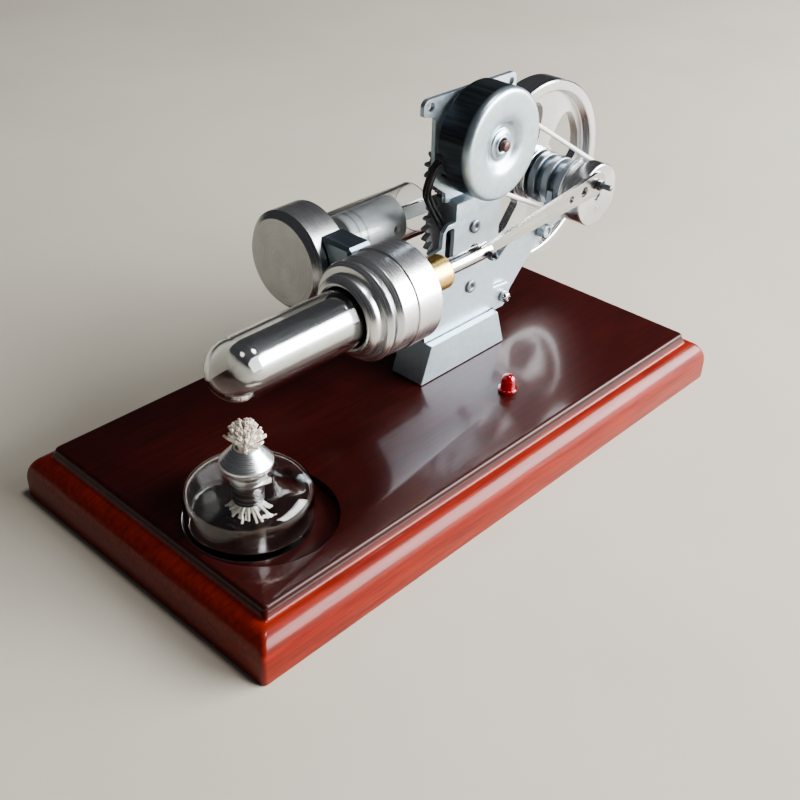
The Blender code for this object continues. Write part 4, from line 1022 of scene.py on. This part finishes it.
def make_belt():
    big, small = Vector(GEN), Vector((CRANK_X, AXIS))
    between = small - big
    heading = math.atan2(between.y, between.x)
    lean = math.asin((GEN_GROOVE[1] - CRANK_GROOVE[1]) / between.length)
    upper, lower = heading + math.pi / 2 - lean, heading - math.pi / 2 + lean
    loop = []
    for centre, (y, radius), start, end in ((small, CRANK_GROOVE, upper, lower),
                                            (big, GEN_GROOVE, lower, upper - 2 * math.pi)):
        for step in range(49):
            angle = start + (end - start) * step / 48
            loop.append((Vector((centre.x + radius * math.cos(angle), y,
                                 centre.y + radius * math.sin(angle))) * MM))
    done(wire("round_belt", [loop], BELT_R, True, 5), "frame", "white_rubber", RUBBER,
         "drive_belt")


# ---------------------------------------------------------------- leads and signal lamp
LEAD_ROUTE = ((12.4, -3.1, 75.4), (11.4, -2.0, 73.0), (10.8, -0.9, 69.0), (11.2, 0.4, 64.6),
              (13.4, 1.4, 61.0), (16.2, 1.6, 57.0), (18.8, 1.3, 53.0), (21.0, 0.8, 49.0),
              (22.6, 0.5, 45.0), (22.8, 0.4, 41.0), (21.6, 0.5, 36.0), (19.8, 1.2, 30.0),
              (18.0, 3.6, 23.5), (16.6, 7.2, 17.0), (15.4, 9.8, 10.4), (15.0, 10.6, 4.0),
              (15.0, 10.6, -4.0), (15.0, 10.6, -13.0))
LEAD_R = 0.6


def make_leads():
    route = smooth_line([Vector((x, y, z + TOP)) * MM for x, y, z in LEAD_ROUTE], 4)
    headings = [(b - a).normalized() for a, b in zip(route, route[1:])]
    headings.append(headings[-1])
    for number in (1, 2, 3):
        turn = Matrix.Rotation(math.radians(120 * number), 3, headings[0])
        side = turn @ headings[0].orthogonal().normalized() * 0.95 * MM
        path = []
        for i, place in enumerate(route):
            side = headings[max(i - 1, 0)].rotation_difference(headings[i]) @ side
            path.append(place + side)
        lead = done(wire(f"lead_{number}", [path], LEAD_R), "frame", "black_pvc", SLEEVE,
                    f"generator_lead_{number}")


def make_signal_lamp():
    dome = smooth_profile([(0.4, 6.48), (1.1, 6.25), (1.8, 5.7), (2.3, 4.9), (2.5, 3.9)], 5)
    lens = [(0, 6.5), *dome, (2.5, 1.3), (3.1, 1.3), (3.2, 1.2), (3.2, 0.4), (3.1, 0.3),
            (2.5, 0.3), (2.5, -4.0), (0, -4.0)]
    done(lathe("signal_lens", lens, (24.5, -28, TOP), "z", 64), "frame", "red_lens", LENS,
         "led_lens", edge=0.0)


def make_foot_screws():
    for side, x in zip(("left", "right"), FOOT_SCREW_X):
        screw = [(0, 24), (1.3, 24), (1.5, 23.8), *threads(1.5, 23.6, 3.9, 0.7, 0.2), (1.5, 3.7),
                 (3.4, 3.7), (3.4, 1.2), (2.9, 0.8), (0, 0.8)]
        body = lathe(f"base_screw_{side}", screw, (x, 0.25, 0), "z", 48)
        forms = [box_form((x - 1.6, -0.05, 0), (x + 1.6, 0.55, 2.0)),
                 box_form((x - 0.3, -1.35, 0), (x + 0.3, 1.85, 2.0))]
        done(combine(body, forms), "frame", "polished_steel", STEEL, f"foot_screw_{side}",
             edge=0.0)


KEPT = {"generator_cover": ZINC, "generator_coil": COPPER, "generator_rotor": FERRITE,
        "generator_post_upper": STEEL, "generator_post_lower": STEEL,
        "generator_post_right": STEEL}


def paint_kept_nodes():
    for name, mat in KEPT.items():
        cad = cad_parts[name]
        cad.data.materials.clear()
        cad.data.materials.append(mat)
        weld = cad.modifiers.new("weld", "WELD")
        weld.merge_threshold = 0.00001
        bevel = cad.modifiers.new("edges", "BEVEL")
        bevel.width, bevel.segments = 0.1 * MM, 2
        bevel.limit_method = "ANGLE"


HEAD = turned_metal("faced_aluminium", (0.56, 0.57, 0.57), 0.24, "X", 0.8, 140.0, 0.16)

make_camera()
make_leads()
make_studio()
make_base()
make_lamp()
make_hot_end()
make_power_end()
make_crank()
make_bearings()
make_bracket()
make_link_block()
make_fasteners()
make_generator()
make_gears()
make_belt()
make_signal_lamp()
make_foot_screws()
paint_kept_nodes()
